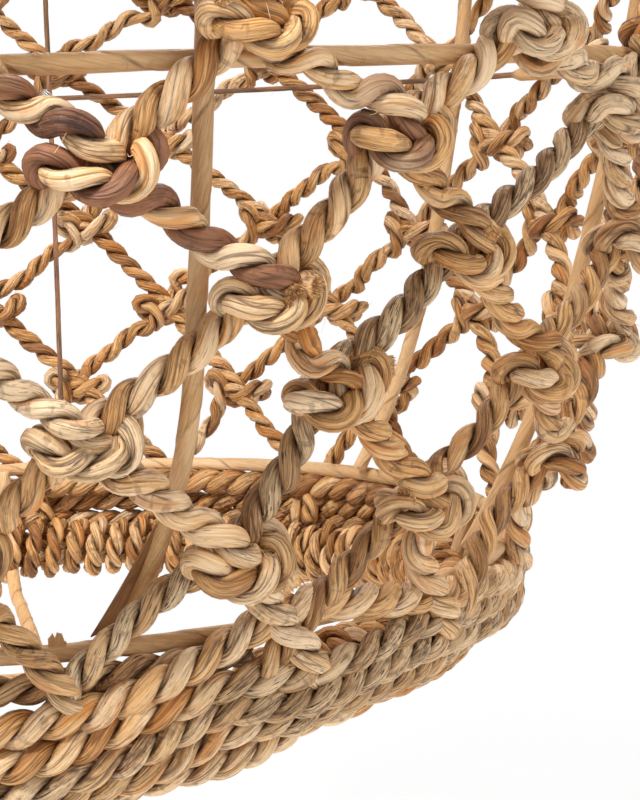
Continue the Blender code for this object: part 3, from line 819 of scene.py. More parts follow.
def leaf_grain_group() -> bpy.types.NodeTree:
    """Node group of dried leaf: strips and creases, fibres, blotches, wrinkles and mildew along the grain.

    Returns:
        The group, with inputs for the pattern's scale and its mildew, and outputs for the pattern's masks
        and the height of the surface.
    """
    masks = ("Fibre", "Strip", "Crease and shade", "Blotch", "Mildew", "Height")
    sockets = {label: "NodeSocketFloat" for label in masks}
    graph, given, out = new_group("leaf_grain", ("Scale", "Mildew share"), sockets)
    grain = graph.node("ShaderNodeAttribute", attribute_name="grain").outputs["Vector"]
    vector = graph.vector("SCALE", grain, given["Scale"])

    # Fine and coarse fibres.
    fine = graph.stretched_noise(vector, (150, 3000, 3000), roughness=0.65)
    coarse = graph.stretched_noise(vector, (80, 1050, 1050), roughness=0.6)
    fibre = graph.math("ADD", graph.times(fine, 0.5), graph.times(coarse, 0.5))

    # Strips of leaf that sway a little, with creases where two meet. A crease is darkened both as the leaf
    # edge's own dark line and as painted shade in its groove.
    sway = graph.node("ShaderNodeTexNoise", noise_dimensions="3D")
    sway.inputs["Scale"].default_value = 60.0
    sway.inputs["Detail"].default_value = 1.0
    graph.feed(sway.inputs["Vector"], vector)
    bent = graph.vector("ADD", vector, graph.vector("SCALE", sway.outputs["Color"], 0.0022))
    strips = graph.stretched(bent, (34, 330, 330))
    cell = graph.node("ShaderNodeTexVoronoi", feature="F1")
    edge = graph.node("ShaderNodeTexVoronoi", feature="DISTANCE_TO_EDGE")
    for texture in (cell, edge):
        graph.feed(texture.inputs["Vector"], strips)
        texture.inputs["Scale"].default_value = 1.0
        texture.inputs["Randomness"].default_value = 0.9
    apart = graph.node("ShaderNodeSeparateColor")
    graph.feed(apart.inputs[0], cell.outputs["Color"])
    line = graph.less(1.0, graph.step(edge.outputs["Distance"], 0.0, 0.085))
    where = graph.step(graph.stretched_noise(vector, (70, 150, 150), 1.0), 0.46, 0.62)
    crease_and_shade = graph.times(line, where)

    # Mildew: specks within patches, and a few dashes anywhere.
    speck = graph.stretched_noise(vector, (230, 1900, 1900), roughness=0.7)
    region = graph.step(graph.stretched_noise(vector, (30, 90, 90)), 0.34, 0.56)
    specks = graph.times(graph.step(speck, 0.54, 0.62), region)
    specks = graph.math("MULTIPLY", specks, given["Mildew share"], clamp=True)
    dash = graph.step(graph.stretched_noise(vector, (190, 1300, 1300), 1.0), 0.665, 0.72)
    dashes = graph.times(dash, graph.times(1.6, given["Mildew share"]))
    mildew = graph.math("MAXIMUM", specks, dashes)

    # Wrinkles across the leaf where it was wet and drawn tight. Their darkening through the crease mask is
    # painted shade in the wrinkles.
    smooth = graph.step(graph.stretched_noise(vector, (430, 170, 170), 1.0), 0.30, 0.46)
    tight = graph.step(graph.stretched_noise(vector, (28, 60, 60), 1.0), 0.42, 0.62)
    wrinkle = graph.times(graph.less(1.0, smooth), tight)

    graph.feed(out["Fibre"], fibre)
    graph.feed(out["Strip"], apart.outputs[0])
    # This mask darkens leaf edges, and it paints shade in creases and wrinkles.
    graph.feed(out["Crease and shade"], graph.math("MAXIMUM", crease_and_shade, graph.times(wrinkle, 0.55)))
    graph.feed(out["Blotch"], graph.stretched_noise(vector, (34, 120, 120)))
    graph.feed(out["Mildew"], mildew)
    rise = graph.times(graph.step(edge.outputs["Distance"], 0.0, 0.20), 0.9)
    height = graph.math("ADD", graph.times(fibre, 0.8), rise)
    graph.feed(out["Height"], graph.less(height, graph.times(wrinkle, 0.9)))
    return graph.tree


@dataclass(frozen=True)
class LeafFinish:
    """Dried leaf, twisted into rope or wound on a rod."""

    name: str
    pale: Colour = (0.97, 0.71, 0.45)
    tan: Colour = (0.80, 0.430, 0.150)
    deep: Colour = (0.33, 0.125, 0.030)
    grey: Colour = (0.74, 0.54, 0.32)
    grey_deep: Colour = (0.27, 0.16, 0.075)
    burnt: Colour = (0.050, 0.018, 0.011)
    burnt_pale: Colour = (0.33, 0.140, 0.066)
    orange: Colour = (0.66, 0.24, 0.045)
    mould: Colour = (0.050, 0.036, 0.028)
    # Dark colour of leaf edges. It is also used for painted shade in creases and hollows.
    crease_and_shade: Colour = (0.085, 0.030, 0.010)
    scale: float = 1.0
    crease_and_shade_share: float = 0.75
    mildew_share: float = 1.0
    orange_share: float = 0.65
    grey_share: float = 0.85
    painted_shade_share: float = 0.86
    contrast: float = 1.0
    fibre_contrast: float = 1.9
    strip_contrast: float = 0.20
    specular: float = 0.35
    roughness: float = 0.55
    bump: float = 0.0007

    def material(self, group: bpy.types.NodeTree) -> bpy.types.Material:
        """Build the material.

        Args:
            group: The leaf grain group.

        Returns:
            The material.
        """
        made, graph, shader = new_material(self.name)
        grain = graph.node("ShaderNodeGroup", node_tree=group)
        grain.inputs["Scale"].default_value = self.scale
        tint = graph.node("ShaderNodeAttribute", attribute_name="tint")
        split = graph.node("ShaderNodeSeparateColor")
        graph.feed(split.inputs[0], tint.outputs["Color"])
        greyness, darkness, shade = split.outputs[:3]
        painted_shade = tint.outputs["Alpha"]
        spread = graph.math("ADD", graph.times(greyness, 0.75), 0.25)
        graph.feed(grain.inputs["Mildew share"], graph.times(spread, self.mildew_share))

        # How light the leaf is, from its fibres, its strips and its own shade.
        fibres = graph.times(graph.less(grain.outputs["Fibre"], 0.5), self.fibre_contrast * self.contrast)
        strips = graph.times(grain.outputs["Strip"], self.strip_contrast * self.contrast)
        light = graph.math("ADD", graph.math("ADD", fibres, strips), graph.less(shade, 0.015))
        colour = graph.mix(graph.step(light, 0.05, 0.50), self.deep, self.tan)
        colour = graph.mix(graph.step(light, 0.40, 0.95), colour, self.pale)
        spots = graph.step(grain.outputs["Blotch"], 0.585, 0.66)
        colour = graph.mix(graph.times(spots, self.orange_share), colour, self.orange)
        greyed = graph.mix(graph.step(light, 0.1, 0.9), self.grey_deep, self.grey)
        colour = graph.mix(graph.times(greyness, self.grey_share), colour, greyed)
        patch = graph.math("ADD", light, graph.times(graph.less(grain.outputs["Blotch"], 0.5), 1.3))
        burnt = graph.mix(graph.step(patch, 0.22, 0.80), self.burnt, self.burnt_pale)
        colour = graph.mix(darkness, colour, burnt)
        colour = graph.mix(grain.outputs["Mildew"], colour, self.mould)
        # Crease lines: the leaf edges' own dark line, with painted shade in the grooves and wrinkles.
        colour = graph.mix(graph.times(grain.outputs["Crease and shade"], self.crease_and_shade_share), colour, self.crease_and_shade)
        # Painted shade: hollows between strands, fold bottoms, lap seams and cut ends are darkened toward the
        # dark crease colour.
        colour = graph.mix(graph.times(painted_shade, self.painted_shade_share), colour, self.crease_and_shade)
        graph.feed(shader.inputs["Base Color"], colour)
        shader.inputs["Specular IOR Level"].default_value = self.specular
        rough = graph.math("ADD", graph.times(grain.outputs["Blotch"], 0.25), self.roughness - 0.12)
        graph.feed(shader.inputs["Roughness"], rough)
        graph.feed(shader.inputs["Normal"], graph.bump(grain.outputs["Height"], 0.9, self.bump))
        return made


@dataclass(frozen=True)
class SteelFinish:
    """Zinc-plated steel with fine brushing and a few dull patches."""

    name: str = "zinc_steel"
    bright: Colour = (0.62, 0.62, 0.61)
    dull: Colour = (0.36, 0.36, 0.35)
    roughness: float = 0.34
    dull_roughness: float = 0.22

    def material(self) -> bpy.types.Material:
        """Build the material.

        Returns:
            The material.
        """
        made, graph, shader = new_material(self.name)
        place = graph.node("ShaderNodeTexCoord").outputs["Object"]
        patches = graph.stretched_noise(place, (60, 60, 60), 4.0, 0.6)
        brushing = graph.stretched_noise(place, (900, 900, 60))
        share = graph.step(graph.math("ADD", graph.times(brushing, 0.4), patches), 0.55, 0.95)
        graph.feed(shader.inputs["Base Color"], graph.mix(share, self.bright, self.dull))
        rough = graph.math("ADD", graph.times(share, self.dull_roughness), self.roughness)
        graph.feed(shader.inputs["Roughness"], rough)
        shader.inputs["Metallic"].default_value = 1.0
        graph.feed(shader.inputs["Normal"], graph.bump(brushing, 0.25, 0.0002))
        return made


class Slot(Enum):
    """Material slots that the pieces' materials are picked by."""

    LEAF = "leaf_wrap"
    ROPE = "rope"
    STEEL = "steel"


@dataclass
class Dresser:
    """Gives pieces their material and body, and hides the nodes that they stand for."""

    materials: dict[Slot, bpy.types.Material]
    place: Vector

    def basket_piece(self, name: str, pool: MeshPool, kind: Slot, nodes: Iterable[str] = ()) -> None:
        """Make a piece that rides on the basket.

        Args:
            name: Name of the piece.
            pool: Its mesh, in the basket's frame.
            kind: Its material slot.
            nodes: The nodes that it stands for.
        """
        piece = pool.make(name, self.place)
        piece.data.materials.append(self.materials[kind])
        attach(piece, "basket")
        for node in nodes:
            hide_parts(node)
        LOG.info("%s: %d faces", name, len(piece.data.polygons))


# ---- The opening and the net ----


@dataclass(frozen=True)
class Opening:
    """The oval front opening on the egg."""

    egg: EggShape
    front: float = 270.0
    half_angle: float = 50.0
    centre: float = 0.595
    reach: float = 0.305

    def point(self, turn: Values, share: float = 1.0, outward: float = 0.0) -> Array:
        """Point on the oval times a share. Turn 0 is its foot, in radians."""
        angle = self.front + share * self.half_angle * np.sin(turn)
        return self.egg.point(angle, self.centre - share * self.reach * np.cos(turn), outward)

    def hoop_end(self, height: float, room: float) -> float | None:
        """Where a level hoop ends beside the opening.

        Args:
            height: Height of the hoop.
            room: Room between its end and the oval.

        Returns:
            The angle from the front, or None where the hoop clears the opening.
        """
        rise = (self.centre - height) / self.reach
        if abs(rise) >= 1:
            return None
        turn = math.acos(rise)
        radius = float(self.egg.radius_at(height))
        level = math.radians(self.half_angle) * math.cos(turn) * radius
        slant = self.reach * math.sin(turn) / math.hypot(level, self.reach * math.sin(turn))
        return self.half_angle * math.sin(turn) + math.degrees(room / slant / radius)


# Knots that were tied off their even places, by row and half column: degrees round and metres up.
KNOT_SHIFTS: dict[tuple[int, int], tuple[float, float]] = {
    (1, -7): (1.2, -0.0108),
    (1, -5): (-2.4, 0.0019),
    (2, -8): (-0.3, -0.0063),
    (2, -6): (-3.3, 0.0084),
    (3, -7): (1.9, -0.0033),
    (3, -5): (-3.7, 0.0087),
    (4, -8): (1.1, -0.0018),
    (4, -6): (-0.3, 0.0049),
    (4, -4): (0.9, 0.0122),
    (5, -5): (0.1, -0.0060),
    (1, 4): (1.4, -0.0078),
    (1, 6): (4.7, -0.0099),
    (2, 3): (-6.0, -0.0160),
    (2, 7): (-0.4, -0.0093),
    (3, 4): (-5.3, -0.0027),
    (3, 6): (1.7, -0.0035),
    (3, 8): (0.4, 0.0052),
    (4, 5): (-4.3, 0.0025),
    (4, 7): (-1.4, 0.0255),
}


@dataclass(frozen=True)
class Knot:
    """A knot of the net: its place, its own axes, and whether it is tied to the rim."""

    row: int
    column: int
    place: Array
    right: Array
    up: Array
    out: Array
    on_rim: bool

    @property
    def angle(self) -> float:
        """Angle of the knot about the basket's axis."""
        return math.degrees(math.atan2(self.place[1], self.place[0]))

    def at(self, x: float, y: float, z: float) -> Array:
        """Place of a spot given in the knot's axes, in millimetres."""
        return self.place + (x * self.right + y * self.up + z * self.out) / 1000


class Cord(Enum):
    """The two families of cords: one rises to the right and runs straight, the other falls and ties."""

    RISING = 1
    FALLING = -1


# Looks of the cords that differ most from the others, by family and line.
CORD_TONES: dict[tuple[Cord, int], Tone] = {
    (Cord.RISING, -12): Tone(0.10, 0.0, 0.58, 1.05),
    (Cord.RISING, -10): Tone(0.12, 0.0, 0.62, 1.06),
    (Cord.RISING, -8): Tone(0.85, 0.0, 0.50, 0.94),
    (Cord.RISING, -6): Tone(0.35, 0.0, 0.45, 0.94),
    (Cord.FALLING, -4): Tone(0.10, 0.0, 0.52, 1.02),
    (Cord.FALLING, -2): Tone(0.15, 0.0, 0.48, 0.95),
}


@dataclass(frozen=True)
class DarkStretch:
    """Stretch of a cord laid with dark leaf, from one row of knots to another, with each ply's share."""

    family: Cord
    line: int
    low_row: float
    high_row: float
    shares: tuple[float, float]


DARK_STRETCHES = (
    DarkStretch(Cord.FALLING, -4, 3.14, 4.62, (1.0, 0.0)),
    DarkStretch(Cord.FALLING, -2, 3.75, 4.35, (0.9, 0.0)),
    DarkStretch(Cord.FALLING, -16, 2.6, 3.4, (0.1, 0.7)),
    DarkStretch(Cord.FALLING, 6, 7.5, 8.4, (0.8, 0.8)),
    DarkStretch(Cord.RISING, 10, 6.2, 7.0, (0.6, 0.0)),
)
# The tying cord's turns through a knot, in millimetres in the knot's axes: over the straight cord, round the
# back, across the front and out below.
TYING_TURNS = (
    (-13, 15, 4),
    (-4, 9, 7),
    (3, 1, 3),
    (1, -7, -8),
    (-9, -8, -11),
    (-18, -3, -5),
    (-19, 1, 5),
    (-10, -5, 11),
    (2, -8, 12),
    (13, -4, 9),
    (19, 3, 1),
    (14, 6, -8),
    (7, -3, -10),
    (10, -14, -4),
)
# A cord's end over the base ring, going away from its last knot: degrees on from it, radius and height.
RISING_FOOT = (
    (-6.5, 0.2850, 0.024),
    (-10.5, 0.2830, 0.008),
    (-12.9, 0.2820, -0.003),
    (-14.4, 0.2800, -0.013),
    (-15.8, 0.2700, -0.024),
    (-16.6, 0.2620, -0.036),
)
FALLING_FOOT = (
    (2.6, 0.2880, 0.024),
    (5.6, 0.2850, 0.005),
    (7.6, 0.2850, -0.008),
    (8.8, 0.2820, -0.016),
    (9.6, 0.2700, -0.027),
    (10.0, 0.2600, -0.038),
)


@dataclass
class KnottedNet:
    """Net of two families of cords, tied where they cross, with each panel a piece."""

    egg: EggShape
    opening: Opening
    columns: int = 16
    row_spacing: float = 0.054
    first_row_height: float = 0.005
    last_row: int = 19
    offset: float = 0.0136
    snap_from: float = 0.88
    snap_to: float = 1.19
    edge_share: float = 1.047
    edge_lift: float = 0.003
    tier_tops: tuple[int, int] = (6, 12)
    thin_side: float = 150.0
    thinning: float = 0.20
    # Painted shade on the far side of the net.
    far_painted_shade: float = 0.17
    far_grey: float = 0.6
    draw_in: float = 0.0095
    near_angle: float = 15.0
    loose_turn: float = 0.9
    loose_rise: float = 0.003
    run_in: float = 0.024
    tie_in: float = 0.030
    tight_radius: float = 0.22
    foot_reach: float = 0.07
    seed: int = 11
    lay: RopeLay = RopeLay()
    pools: dict[str, MeshPool] = field(default_factory=dict)

    def knot(self, row: int, column: int) -> Knot | None:
        """Knot of a row and a half column.

        Args:
            row: Row, counted upward from the base ring.
            column: Half column, counted from the back.

        Returns:
            The knot, or None inside the opening.
        """
        column = self.wrapped(column)
        from_front = 180 - abs(column) * 180 / self.columns
        height = self.first_row_height + row * self.row_spacing
        rise = height - self.opening.centre
        share = math.hypot(from_front / self.opening.half_angle, rise / self.opening.reach)
        if share < self.snap_from:
            return None
        on_rim = share < self.snap_to
        if on_rim:
            from_front *= self.edge_share / share
            height = self.opening.centre + rise * self.edge_share / share
        loose = (0.0, 0.0)
        if not on_rim and abs(column) < 13:
            stray = Random(1000 + 64 * row + column % 32).normal(0, 1, 2)
            loose = (self.loose_turn * float(stray[0]), self.loose_rise * float(stray[1]))
        round_about, upward = KNOT_SHIFTS.get((row, column), loose)
        angle = 90 + math.copysign(180 - from_front, column) + round_about
        height += upward
        place = self.egg.point(angle, height, self.offset + (self.edge_lift if on_rim else 0))
        out = self.egg.normal(place)
        right = unit(np.array((-math.sin(math.radians(angle)), math.cos(math.radians(angle)), 0.0)))
        return Knot(row, column, place, right, np.cross(out, right), out, on_rim)

    def wrapped(self, column: int) -> int:
        """Half column counted from the back, within half a turn each way."""
        return (column + self.columns - 1) % (2 * self.columns) - self.columns + 1

    def panel_of(self, knot: Knot) -> str:
        """Net panel that a knot belongs to.

        Args:
            knot: The knot.

        Returns:
            Name of the panel's node.
        """
        tier = ("lower", "middle", "upper")[sum(knot.row > top for top in self.tier_tops)]
        from_back = abs(knot.column) * 180 / self.columns
        side = "left" if knot.column < 0 else "right"
        if from_back < 33:
            gore = "back"
        elif from_back < 78:
            gore = "back_" + side
        elif from_back < 123 or tier == "middle":
            gore = "side_" + side
        elif from_back < 157:
            gore = "front_" + side
        else:
            gore = "front"
        return f"net_{tier}_{gore}"

    def detail_of(self, knot: Knot) -> Detail:
        """Finer rope on the lower left of the chair, where it is seen from near by.

        Args:
            knot: The knot that the rope belongs to.

        Returns:
            How finely the rope is made.
        """
        away = angle_between(90 + knot.column * 180 / self.columns, self.near_angle)
        if away < 62 and knot.row <= 6:
            return NEAR
        return MIDDLE if away < 100 and knot.row <= 9 else FAR

    def runs(self, family: Cord) -> list[tuple[int, list[Knot]]]:
        """Unbroken chains of knots that one family's cords pass through.

        Args:
            family: The family.

        Returns:
            The chains in the order that they are laid, each with the number of its line.
        """
        found = []
        for line in range(-self.columns, self.columns, 2):
            chain: list[Knot] = []
            rows = range(1, self.last_row + 1)
            for row in rows if family is Cord.RISING else reversed(rows):
                knot = self.knot(row, line + row * family.value)
                if knot:
                    chain.append(knot)
                if (knot is None or row == (self.last_row if family is Cord.RISING else 1)) and chain:
                    found.append((line, chain))
                    chain = []
        return found

    def rising_points(self, knot: Knot, before: Array, after: Array) -> list[Array]:
        """Middle line of the straight cord through a knot.

        Args:
            knot: The knot.
            before: Unit direction to the knot before.
            after: Unit direction to the next knot.

        Returns:
            Points of the cord from where it comes in to where it leaves.
        """
        inward = knot.out * -0.003
        come_in = knot.place + before * self.run_in + inward
        return [come_in, knot.at(-1, -1, -5), knot.place + after * self.run_in + inward]

    def falling_points(self, knot: Knot, before: Array, after: Array, rng: Random) -> list[Array]:
        """Middle line of the tying cord through a knot: over, round the back, across the front and out.

        Args:
            knot: The knot.
            before: Unit direction to the knot before.
            after: Unit direction to the next knot.
            rng: Random numbers.

        Returns:
            Points of the cord from where it comes in to where it leaves.
        """
        crowding = min(float(np.hypot(*knot.place[:2])) / self.tight_radius, 1.0)
        jitter = rng.normal(0, 0.9, (len(TYING_TURNS), 3))
        turn = math.radians(rng.normal(0, 7))
        size = rng.normal(1.0, 0.04) * (0.25 + 0.75 * crowding)
        points = [knot.place + before * self.tie_in * crowding]
        for (x, y, z), shift in zip(TYING_TURNS, jitter):
            across = (x * math.cos(turn) - y * math.sin(turn)) * size + shift[0]
            upward = (x * math.sin(turn) + y * math.cos(turn)) * size + shift[1]
            points.append(knot.at(across, upward, z + shift[2]))
        points.append(knot.place + after * self.tie_in * crowding)
        return points

    def foot_points(self, knot: Knot, family: Cord) -> list[Array]:
        """End of a cord over the base ring, from its outside to behind the band's first row.

        Args:
            knot: The cord's last knot.
            family: Which family the cord is of.

        Returns:
            Points going away from the knot.
        """
        steps = RISING_FOOT if family is Cord.RISING else FALLING_FOOT
        angles = [knot.angle + turn for turn, _, _ in steps]
        return [
            ring_point(angle, radius - self.draw_in * drawn_share(angle), height)
            for angle, (_, radius, height) in zip(angles, steps)
        ]

    def crown_points(self, knot: Knot, lean: float) -> list[Array]:
        """End of a cord under the crown's coil.

        Args:
            knot: The cord's last knot.
            lean: 1 where the cord leans to the right as it rises, or -1.

        Returns:
            Points going away from the knot.
        """
        return [
            self.egg.point(knot.angle + turn * lean, self.egg.height_at(radius), outward)
            for turn, radius, outward in ((5, 0.140, 0.004), (8, 0.118, -0.002))
        ]

    def rim_points(self, knot: Knot) -> list[Array]:
        """End of a cord over the rim rod and round behind it.

        Args:
            knot: The cord's last knot, which is beside the rim.

        Returns:
            Points going away from the knot.
        """
        turn = math.atan2(
            (knot.angle % 360 - self.opening.front) / self.opening.half_angle,
            -(float(knot.place[2]) - self.opening.centre) / self.opening.reach,
        )
        steps = ((1.02, 0.016), (0.965, 0.004), (0.985, -0.013), (1.03, -0.012))
        return [self.opening.point(turn, share, outward) for share, outward in steps]

    def end_points(self, knot: Knot, family: Cord, is_start: bool) -> list[Array]:
        """Points past the first or last knot of a cord.

        Args:
            knot: The first or last knot.
            family: Which family the cord is of.
            is_start: Whether it is the first.

        Returns:
            Points going away from the knot.
        """
        if knot.on_rim:
            return self.rim_points(knot)
        going_up = (family is Cord.RISING) != is_start
        if going_up:
            return self.crown_points(knot, 1.0 if family is Cord.RISING else -1.0)
        return self.foot_points(knot, family)

    def lay_chain(self, chain: list[Knot], family: Cord, line: int, rng: Random) -> None:
        """Lay one cord through its knots and share it out among the panels.

        Args:
            chain: The knots, in the order that the cord passes through them.
            family: Which family the cord is of.
            line: Number of the cord's line.
            rng: Random numbers of this cord.
        """
        control: list[Array] = []
        cuts: list[int] = [0]
        middles: list[int] = []
        first, last = chain[0], chain[-1]
        beyond = self.end_points(last, family, False)
        control += reversed(self.end_points(first, family, True))
        for index, knot in enumerate(chain):
            before = unit((chain[index - 1].place if index else control[-1]) - knot.place)
            after = unit((chain[index + 1].place if knot is not last else beyond[0]) - knot.place)
            start = len(control)
            if family is Cord.RISING or len(chain) == 1:
                control += self.rising_points(knot, before, after)
            else:
                control += self.falling_points(knot, before, after, rng)
            middles.append((start + len(control) - 1) // 2)
            if knot is not last:
                control.append((knot.place + chain[index + 1].place) / 2)
                cuts.append(len(control) - 1)
        control += beyond
        cuts.append(len(control) - 1)
        own = Tone(rng.uniform(0.05, 0.6) ** 1.3, 0.0, rng.uniform(0.38, 0.62), rng.normal(1, 0.04))
        run = RopeRun(np.array(control), self.lay, rng, CORD_TONES.get((family, line), own))
        self.season(run)
        rows = np.interp(run.along, run.stations[middles], [float(knot.row) for knot in chain])
        before_first = np.minimum(run.along - run.stations[middles[0]], 0) / self.foot_reach
        self.darken(run, rows + before_first * family.value, family, line, rng)
        for knot, low, high in zip(chain, cuts, cuts[1:]):
            pool = self.pools.setdefault(self.panel_of(knot), MeshPool())
            start, end = (run.sample_at(run.stations[cut]) for cut in (low, high))
            run.add_to(pool, self.detail_of(knot), start, end)

    def season(self, run: RopeRun) -> None:
        """Make a cord thinner and less grey on the far side, where the rope was finer, and darker there with
        painted shade of the basket.

        Args:
            run: The laid cord.
        """
        away = angle_between(angle_of(run.path), self.thin_side)
        far = np.clip((100 - away) / 40, 0, 1)
        run.girth = run.girth * (1 - self.thinning * far)
        for ply in range(2):
            # Painted shade: the far side of the net is darkened because it lies in the basket's shade.
            run.shade[ply] = run.shade[ply] - self.far_painted_shade * far
            run.grey[ply] = run.grey[ply] * (1 - self.far_grey * far)

    def darken(self, run: RopeRun, rows: Array, family: Cord, line: int, rng: Random) -> None:
        """Give a cord its stretches of dark leaf, with ragged ends.

        Args:
            run: The laid cord.
            rows: Row of the net that each sample lies at, as a number with a part.
            family: Which family the cord is of.
            line: Number of the cord's line.
            rng: Random numbers of this cord.
        """
        for stretch in DARK_STRETCHES:
            if (stretch.family, stretch.line) == (family, line):
                edge = np.minimum(rows - stretch.low_row, stretch.high_row - rows)
                for ply, share in enumerate(stretch.shares):
                    part = share * np.clip(edge / 0.12 + 0.5 * drift(rng, len(edge), 8), 0, 1)
                    run.dark[ply] = np.maximum(run.dark[ply], part)

    def build(self, dresser: Dresser) -> None:
        """Lay every cord and make a piece of each panel.

        Args:
            dresser: Dresses the pieces.
        """
        rng = Random(self.seed)
        for family in Cord:
            for line, chain in self.runs(family):
                self.lay_chain(chain, family, line, Random(rng.randint(1 << 30)))
        for node, pool in sorted(self.pools.items()):
            dresser.basket_piece("rope_" + node, pool, Slot.ROPE, (node,))


# ---- Windings of rope ----


@dataclass(frozen=True)
class BandRow:
    """One turn of rope under the base ring: heights in millimetres and grey shares, both by angle."""

    radius: float
    girth: float
    heights: ByAngle
    greys: ByAngle = ((-180, 0.3), (180, 0.3))


# The band's turns from its foot up. They were laid by hand, and climb just behind the left side.
BAND_ROWS = (
    BandRow(
        0.2620,
        0.95,
        ((-180, -68), (-60, -70), (-8, -72), (3, -66), (7, -63), (12, -62), (15, -60.5), (18, -56))
        + ((21, -53), (24, -48.5), (28, -49), (31, -46), (45, -48), (60, -50), (120, -58), (180, -62)),
    ),
    BandRow(
        0.2700,
        0.98,
        ((-180, -60), (-60, -60), (-25, -66), (-8, -66), (2, -60), (5, -59), (9, -53), (12, -46.5))
        + ((14.5, -43.5), (17.5, -46), (21, -45.5), (22, -43), (30, -40), (45, -40), (60, -41))
        + ((120, -49), (180, -50)),
        ((-180, 0.3), (-10, 0.2), (8, 0.3), (14, 0.1), (18, 0.75), (40, 0.5), (180, 0.3)),
    ),
    BandRow(
        0.2760,
        1.0,
        ((-180, -50), (-60, -52), (-25, -60), (-9, -61), (-4, -56.5), (2, -51), (5, -45), (7.4, -40))
        + ((10, -34.5), (12.4, -32), (17, -32.7), (21, -35), (23.4, -34), (26, -31), (29.4, -28.6))
        + ((33.5, -25.5), (38, -25), (50, -29), (60, -31), (120, -37), (180, -38)),
        ((-180, 0.3), (-12, 0.9), (-5, 0.9), (0, 0.3), (6, 0.5), (12, 0.7), (20, 0.95), (40, 0.8))
        + ((180, 0.3),),
    ),
    BandRow(
        0.2785,
        1.02,
        ((-180, -38), (-60, -40), (-25, -48), (-8.6, -46), (-3.4, -42.5), (0.3, -37), (4, -31), (8, -26))
        + ((10, -22), (13, -19.3), (18, -19.4), (22, -21.4), (25, -19.3), (28.4, -18), (32, -13.8))
        + ((35.7, -12.2), (46, -17), (56, -21), (120, -25), (180, -26)),
        ((-180, 0.2), (-10, 0.05), (5, 0.1), (9, 0.3), (12, 0.85), (40, 0.85), (60, 0.4), (180, 0.2)),
    ),
    BandRow(
        0.2785,
        1.17,
        ((-180, -26), (-60, -27), (-25, -33), (-7.7, -30), (-3.9, -27.2), (0.5, -24.8), (3.7, -20))
        + ((6.8, -14), (9, -10), (11.2, -4), (13.4, 1), (15.2, 4), (16.6, 9.5), (19, 11.5), (22, 11.5))
        + ((25.3, 8), (28, 5.5), (36, 1), (46, -6), (56, -11), (120, -12), (180, -12)),
        ((-180, 0.3), (-12, 0.05), (30, 0.05), (45, 0.4), (180, 0.3)),
    ),
    BandRow(
        0.2690,
        0.95,
        ((-180, -12), (-60, -12), (-25, -14), (-10, -14), (0, -13), (6, -11), (12, -9), (18, -8)),
        ((-180, 0.3), (-20, 0.7), (18, 0.6)),
    ),
)


